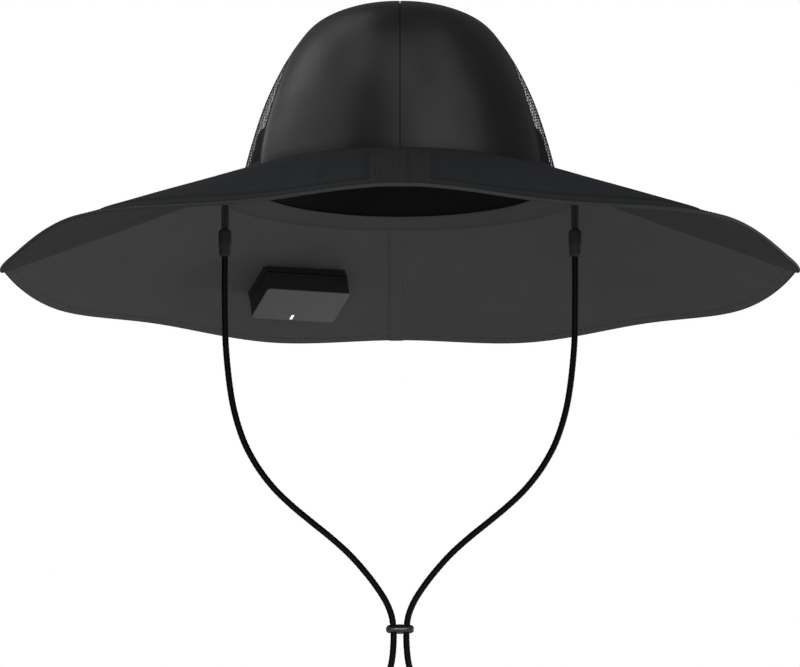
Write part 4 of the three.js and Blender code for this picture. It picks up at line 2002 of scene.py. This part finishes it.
@dataclass
class ChinCord:
    """The chin cord from barrel to barrel, its slider, and the fittings that hang it from the ring."""

    brim: Brim
    diameter: float = 3.5
    braid_strands: int = 6
    braid_step: float = 1.35
    braid_relief: float = 0.14
    sides: int = 24
    ring_step: float = 0.5
    fitting_x: float = 94.4
    strand_diameter: float = 2.2
    strand_spacing: float = 1.85
    sleeve_bottom: float = -26.2
    sleeve_step: float = 0.4
    collar_top: float = -35.1
    barrel: tuple[tuple[float, float], ...] = (
        (1.95, -41.3),
        (2.15, -41.25),
        (2.4, -40.9),
        (2.85, -40.45),
        (3.05, -40.2),
        (3.15, -39.8),
        (3.15, -35.4),
        (3.2, -35.2),
        (3.45, -35.05),
        (3.5, -34.8),
        (3.5, -28.2),
        (3.35, -27.4),
        (2.9, -26.8),
        (2.3, -26.5),
    )
    slider_z: float = -242.6
    slider_hole_x: float = 3.5
    slider_hole_radius: float = 2.2
    slider_hole_bevel: float = 0.25
    slider_depth_for_height: float = 1.45
    slider: tuple[tuple[float, float], ...] = (
        (-7.5, 0.0),
        (-7.42, 0.8),
        (-7.15, 1.4),
        (-6.7, 1.85),
        (-6.1, 2.15),
        (-5.2, 2.35),
        (-3, 2.5),
        (0, 2.6),
        (3, 2.5),
        (5.2, 2.35),
        (6.1, 2.15),
        (6.7, 1.85),
        (7.15, 1.4),
        (7.42, 0.8),
        (7.5, 0.0),
    )
    route: tuple[tuple[float, float], ...] = (
        (-94.4, -40.7),
        (-94.3, -64),
        (-93.6, -90),
        (-90.7, -116),
        (-87.9, -129),
        (-83.5, -142),
        (-79.2, -150.6),
        (-73.7, -159.2),
        (-66.7, -167.8),
        (-57.8, -176.4),
        (-47.5, -185),
        (-36.9, -193.6),
        (-27.4, -202.2),
        (-19.6, -210.8),
        (-12.9, -219.4),
        (-7.5, -227.9),
        (-4.5, -235.5),
        (-3.5, -242.6),
        (-3.5, -251),
        (-4.6, -261),
        (-7.8, -272),
        (-10.2, -283),
        (-7.6, -293),
        (0, -297.5),
    )

    def line(self) -> list[Vector]:
        """The cord's centre line, as a smooth curve through its route, at even steps.

        Returns:
            Points in metres, from the left barrel to the right one.
        """
        left = [Vector((x, 0, z)) for x, z in self.route]
        knots = left + [Vector((-p.x, 0, p.z)) for p in reversed(left[:-1])]
        fine: list[Vector] = []
        steps = 16
        for i in range(len(knots) - 1):
            p1, p2 = knots[i], knots[i + 1]
            p0 = knots[i - 1] if i else 2 * p1 - p2
            p3 = knots[i + 2] if i + 2 < len(knots) else 2 * p2 - p1
            d0, d1, d2 = ((b - a).length ** 0.5 for a, b in ((p0, p1), (p1, p2), (p2, p3)))
            m1 = (p1 - p0) / d0 - (p2 - p0) / (d0 + d1) + (p2 - p1) / d1
            m2 = (p2 - p1) / d1 - (p3 - p1) / (d1 + d2) + (p3 - p2) / d2
            m1, m2 = m1 * d1, m2 * d1
            for step in range(steps):
                t = step / steps
                fine.append(
                    p1 * (2 * t**3 - 3 * t**2 + 1)
                    + m1 * (t**3 - 2 * t**2 + t)
                    + p2 * (3 * t**2 - 2 * t**3)
                    + m2 * (t**3 - t**2)
                )
        fine.append(knots[-1])
        gone = gone_along(fine)
        coords = np.array(fine)
        count = round(gone[-1] / self.ring_step)
        at = np.linspace(0, gone[-1], count + 1)
        return [Vector([float(np.interp(s, gone, coords[:, k])) for k in range(3)]) * MM for s in at]

    def braided(
        self, name: str, line: Sequence[Vector], diameter: float, sides: int, finish: Cloth
    ) -> Object:
        """Makes a braided tube along a line in the XZ plane, capped at its ends.

        Args:
            name: the piece's name.
            line: the centre line, in metres.
            diameter: over the braid, in mm.
            sides: faces round the tube.
            finish: what it is braided from.

        Returns:
            The tube.
        """
        rows = len(line) - 1
        across = Vector((0, 1, 0))
        outer = diameter / 2
        scale = diameter / self.diameter
        gone = gone_along(line)

        def place(u: float, v: float) -> Vector:
            """The tube, with its strands over and under each other."""
            index = round(v * rows)
            ahead = (line[min(rows, index + 1)] - line[max(0, index - 1)]).normalized()
            turn = 2 * math.pi * u
            along = gone[index] / (self.braid_step * scale * MM)
            a = u * self.braid_strands + along / 2
            b = u * self.braid_strands - along / 2
            over = a if (math.floor(a) + math.floor(b)) % 2 == 0 else b
            crown = math.sin(math.pi * (over % 1))
            radius = outer - self.braid_relief * scale * (1 - crown)
            out = across * math.cos(turn) + ahead.cross(across) * math.sin(turn)
            return line[index] + out * radius * MM

        tube = sheet(name, columns=sides, rows=rows, place=place)
        close_up(tube, is_capped=True)
        smooth(tube, 75)
        return wear(tube, finish)

    def build(self) -> None:
        """Makes the cord and everything on it."""
        line = self.line()
        braid = self.braided("chin_cord_braid", line, self.diameter, self.sides, BRAID)
        cord = mount(braid, "cord_braid", "chin_cord")
        pieces = [self.bead()]
        for side in Side:
            pieces.append(self.barrel_piece(side))
            self.sleeve(side)
        tuple(line[0])
        span(line)
        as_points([tuple(p) for p in line[::4]] + [tuple(line[-1])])

    def turned(self, name: str, profile: Sequence[tuple[float, float]], steps: int) -> Object:
        """Spins a profile of radii and heights about Z, and closes its ends.

        Args:
            name: the piece's name.
            profile: radius and height of each ring, in mm.
            steps: faces round the piece.

        Returns:
            The turned piece.
        """
        bpy.ops.mesh.primitive_circle_add(vertices=steps, radius=profile[0][0] * MM, fill_type="NGON")
        piece = named(bpy.context.object, name)
        piece.location.z = profile[0][1] * MM
        settle(piece)
        bpy.ops.object.mode_set(mode="EDIT")
        bpy.ops.mesh.select_all(action="SELECT")
        for (radius, height), (next_radius, next_height) in zip(profile, profile[1:]):
            upwards = {"value": (0, 0, (next_height - height) * MM)}
            bpy.ops.mesh.extrude_region_move(TRANSFORM_OT_translate=upwards)
            ratio = next_radius / radius
            bpy.ops.transform.resize(value=(ratio, ratio, 1), center_override=(0, 0, 0))
        bpy.ops.mesh.select_all(action="SELECT")
        bpy.ops.mesh.normals_make_consistent(inside=False)
        bpy.ops.object.mode_set(mode="OBJECT")
        return piece

    def barrel_piece(self, side: Side) -> Object:
        """Makes the barrel that grips the cord's end.

        Args:
            side: the side of the hat.

        Returns:
            The barrel.
        """
        piece = self.turned(f"cord_grip_{side.label}", self.barrel, steps=40)
        piece.data.transform(Matrix.Translation((side.value * self.fitting_x * MM, 0, 0)))
        smooth(piece, 50)
        wear(piece, FITTING, COLLAR)
        for face in piece.data.polygons:
            is_collar = face.center.z < self.collar_top * MM
            face.material_index = int(is_collar)
        return mount(piece, "fitting_plastic", f"cord_barrel_{side.label}")

    def sleeve(self, side: Side) -> None:
        """Makes the tab over a barrel: the cord doubled into two strands, sewn to the ring.

        Args:
            side: the side of the hat.
        """
        x = side.value * self.fitting_x
        top = self.brim.height(x, 0) - self.brim.thickness - self.brim.ring_thickness - 2 * self.brim.gap
        length = top - self.sleeve_bottom
        count = round(length / self.sleeve_step)
        strands = []
        for index, shift in enumerate((-0.5, 0.5)):
            at = x + shift * self.strand_spacing
            levels = [self.sleeve_bottom + length * i / count for i in range(count + 1)]
            line = [Vector((at, 0, level)) * MM for level in levels]
            strand = self.braided(f"strand_{index}", line, self.strand_diameter, sides=16, finish=TUBING)
            strands.append(strand)
        piece = named(joined(strands), f"cord_tab_{side.label}")
        mount(piece, "fitting_plastic", f"cord_sleeve_{side.label}")

    def bead(self) -> Object:
        """Makes the slider: a flattened bead with a hole for each side of the cord.

        Returns:
            The slider.
        """
        rows = [(max(radius, 0.02), x) for x, radius in self.slider]
        piece = self.turned("cord_bead", rows, steps=40)
        piece.data.transform(Matrix.Rotation(math.pi / 2, 4, "Y"))
        piece.data.transform(Matrix.Diagonal((1, self.slider_depth_for_height, 1, 1)))
        piece.data.transform(Matrix.Translation((0, 0, self.slider_z * MM)))
        for side in Side:
            bpy.ops.mesh.primitive_cylinder_add(
                vertices=32,
                radius=self.slider_hole_radius * MM,
                depth=15 * MM,
                location=(side.value * self.slider_hole_x * MM, 0, self.slider_z * MM),
            )
            hole = bpy.context.object
            settle(hole)
            cut(piece, hole)
        modify(
            piece,
            "BEVEL",
            width=self.slider_hole_bevel * MM,
            segments=3,
            limit_method="ANGLE",
            angle_limit=math.radians(50),
        )
        smooth(piece, 40)
        wear(piece, BEAD)
        return mount(piece, "fitting_plastic", "cord_slider")


@dataclass(frozen=True)
class Softbox:
    """A soft square light that faces the hat, its azimuth in degrees to the camera's right."""

    azimuth: float
    elevation: float
    power: float
    size: float = 0.6
    distance: float = 1.5

    def build(self, aim: Vector) -> None:
        """Hangs the light.

        Args:
            aim: the point that it faces, in metres.
        """
        turn, rise = math.radians(self.azimuth), math.radians(self.elevation)
        level = math.cos(rise)
        away = Vector((math.sin(turn) * level, -math.cos(turn) * level, math.sin(rise)))
        data = bpy.data.lights.new(f"softbox_{self.azimuth:.0f}_{self.elevation:.0f}", "AREA")
        data.shape = "SQUARE"
        data.size = self.size
        data.energy = self.power
        lamp = bpy.data.objects.new(data.name, data)
        lamp.location = aim + away * self.distance
        lamp.rotation_euler = (-away).to_track_quat("-Z", "Y").to_euler()
        lamp.visible_camera = False
        bpy.context.scene.collection.objects.link(lamp)


@dataclass
class Studio:
    """The pale floor, the lights and the camera, which looks up at the hat a little."""

    camera_place: tuple[float, float, float] = (0.0, -2.4515, -0.4899)
    pitch: float = 9.42
    lens: float = 208.0
    sensor: float = 36.0
    floor_z: float = -0.62
    floor_size: float = 14.0
    backdrop: float = 1.0
    ambient: float = 0.13
    lights_aim: Vector = field(default_factory=lambda: Vector((0, 0, 0.03)))
    lights: tuple[Softbox, ...] = (
        Softbox(azimuth=0, elevation=-15, power=6.0),
        Softbox(azimuth=120, elevation=-15, power=5.0),
        Softbox(azimuth=-150, elevation=10, power=1.2),
        Softbox(azimuth=-120, elevation=35, power=1.35),
        Softbox(azimuth=-90, elevation=35, power=1.15),
        Softbox(azimuth=-60, elevation=35, power=1.1),
        Softbox(azimuth=5, elevation=35, power=0.8),
        Softbox(azimuth=30, elevation=35, power=2.1),
        Softbox(azimuth=60, elevation=35, power=1.3),
        Softbox(azimuth=-120, elevation=60, power=1.0),
        Softbox(azimuth=-60, elevation=60, power=1.2),
        Softbox(azimuth=0, elevation=60, power=1.4),
        Softbox(azimuth=60, elevation=60, power=1.0),
    )

    def build(self) -> None:
        """Sets up the studio."""
        data = bpy.data.cameras.new("camera")
        data.lens = self.lens
        data.sensor_width = self.sensor
        camera = bpy.data.objects.new("camera", data)
        camera.location = self.camera_place
        camera.rotation_euler = (math.radians(90 + self.pitch), 0, 0)
        bpy.context.scene.collection.objects.link(camera)
        bpy.context.scene.camera = camera
        bpy.context.scene.view_settings.view_transform = "Standard"
        self.world()
        for light in self.lights:
            light.build(self.lights_aim)
        bpy.ops.mesh.primitive_grid_add(x_subdivisions=8, y_subdivisions=8, size=self.floor_size)
        floor = named(bpy.context.object, "studio_floor")
        floor.location.z = self.floor_z
        settle(floor)
        wear(floor, FLOOR)

    def world(self) -> None:
        """Makes the white surroundings: bright behind the hat, dimmer as a light on it."""
        world = bpy.data.worlds.new("studio")
        world.use_nodes = True
        tree = world.node_tree
        tree.nodes.clear()
        white = (1, 1, 1, 1)
        path = add_node(tree, "ShaderNodeLightPath")
        seen = add_node(tree, "ShaderNodeBackground", {"Color": white, "Strength": self.backdrop})
        lit = add_node(tree, "ShaderNodeBackground", {"Color": white, "Strength": self.ambient})
        both = add_node(
            tree,
            "ShaderNodeMixShader",
            {0: path.outputs["Is Camera Ray"], 1: lit.outputs[0], 2: seen.outputs[0]},
        )
        add_node(tree, "ShaderNodeOutputWorld", {"Surface": both.outputs[0]})
        bpy.context.scene.world = world


def main() -> None:
    """Builds the hat piece by piece around the frame."""
    logging.basicConfig(level=logging.INFO, format="%(name)s: %(message)s")
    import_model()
    bpy.ops.object.select_all(action="DESELECT")
    Studio().build()
    brim = Brim()
    ChinCord(brim).build()
    brim.build()
    SolarArray(brim).build()
    Crown(brim).build()
    PowerBox(brim).build()


if __name__ == "__main__":
    main()
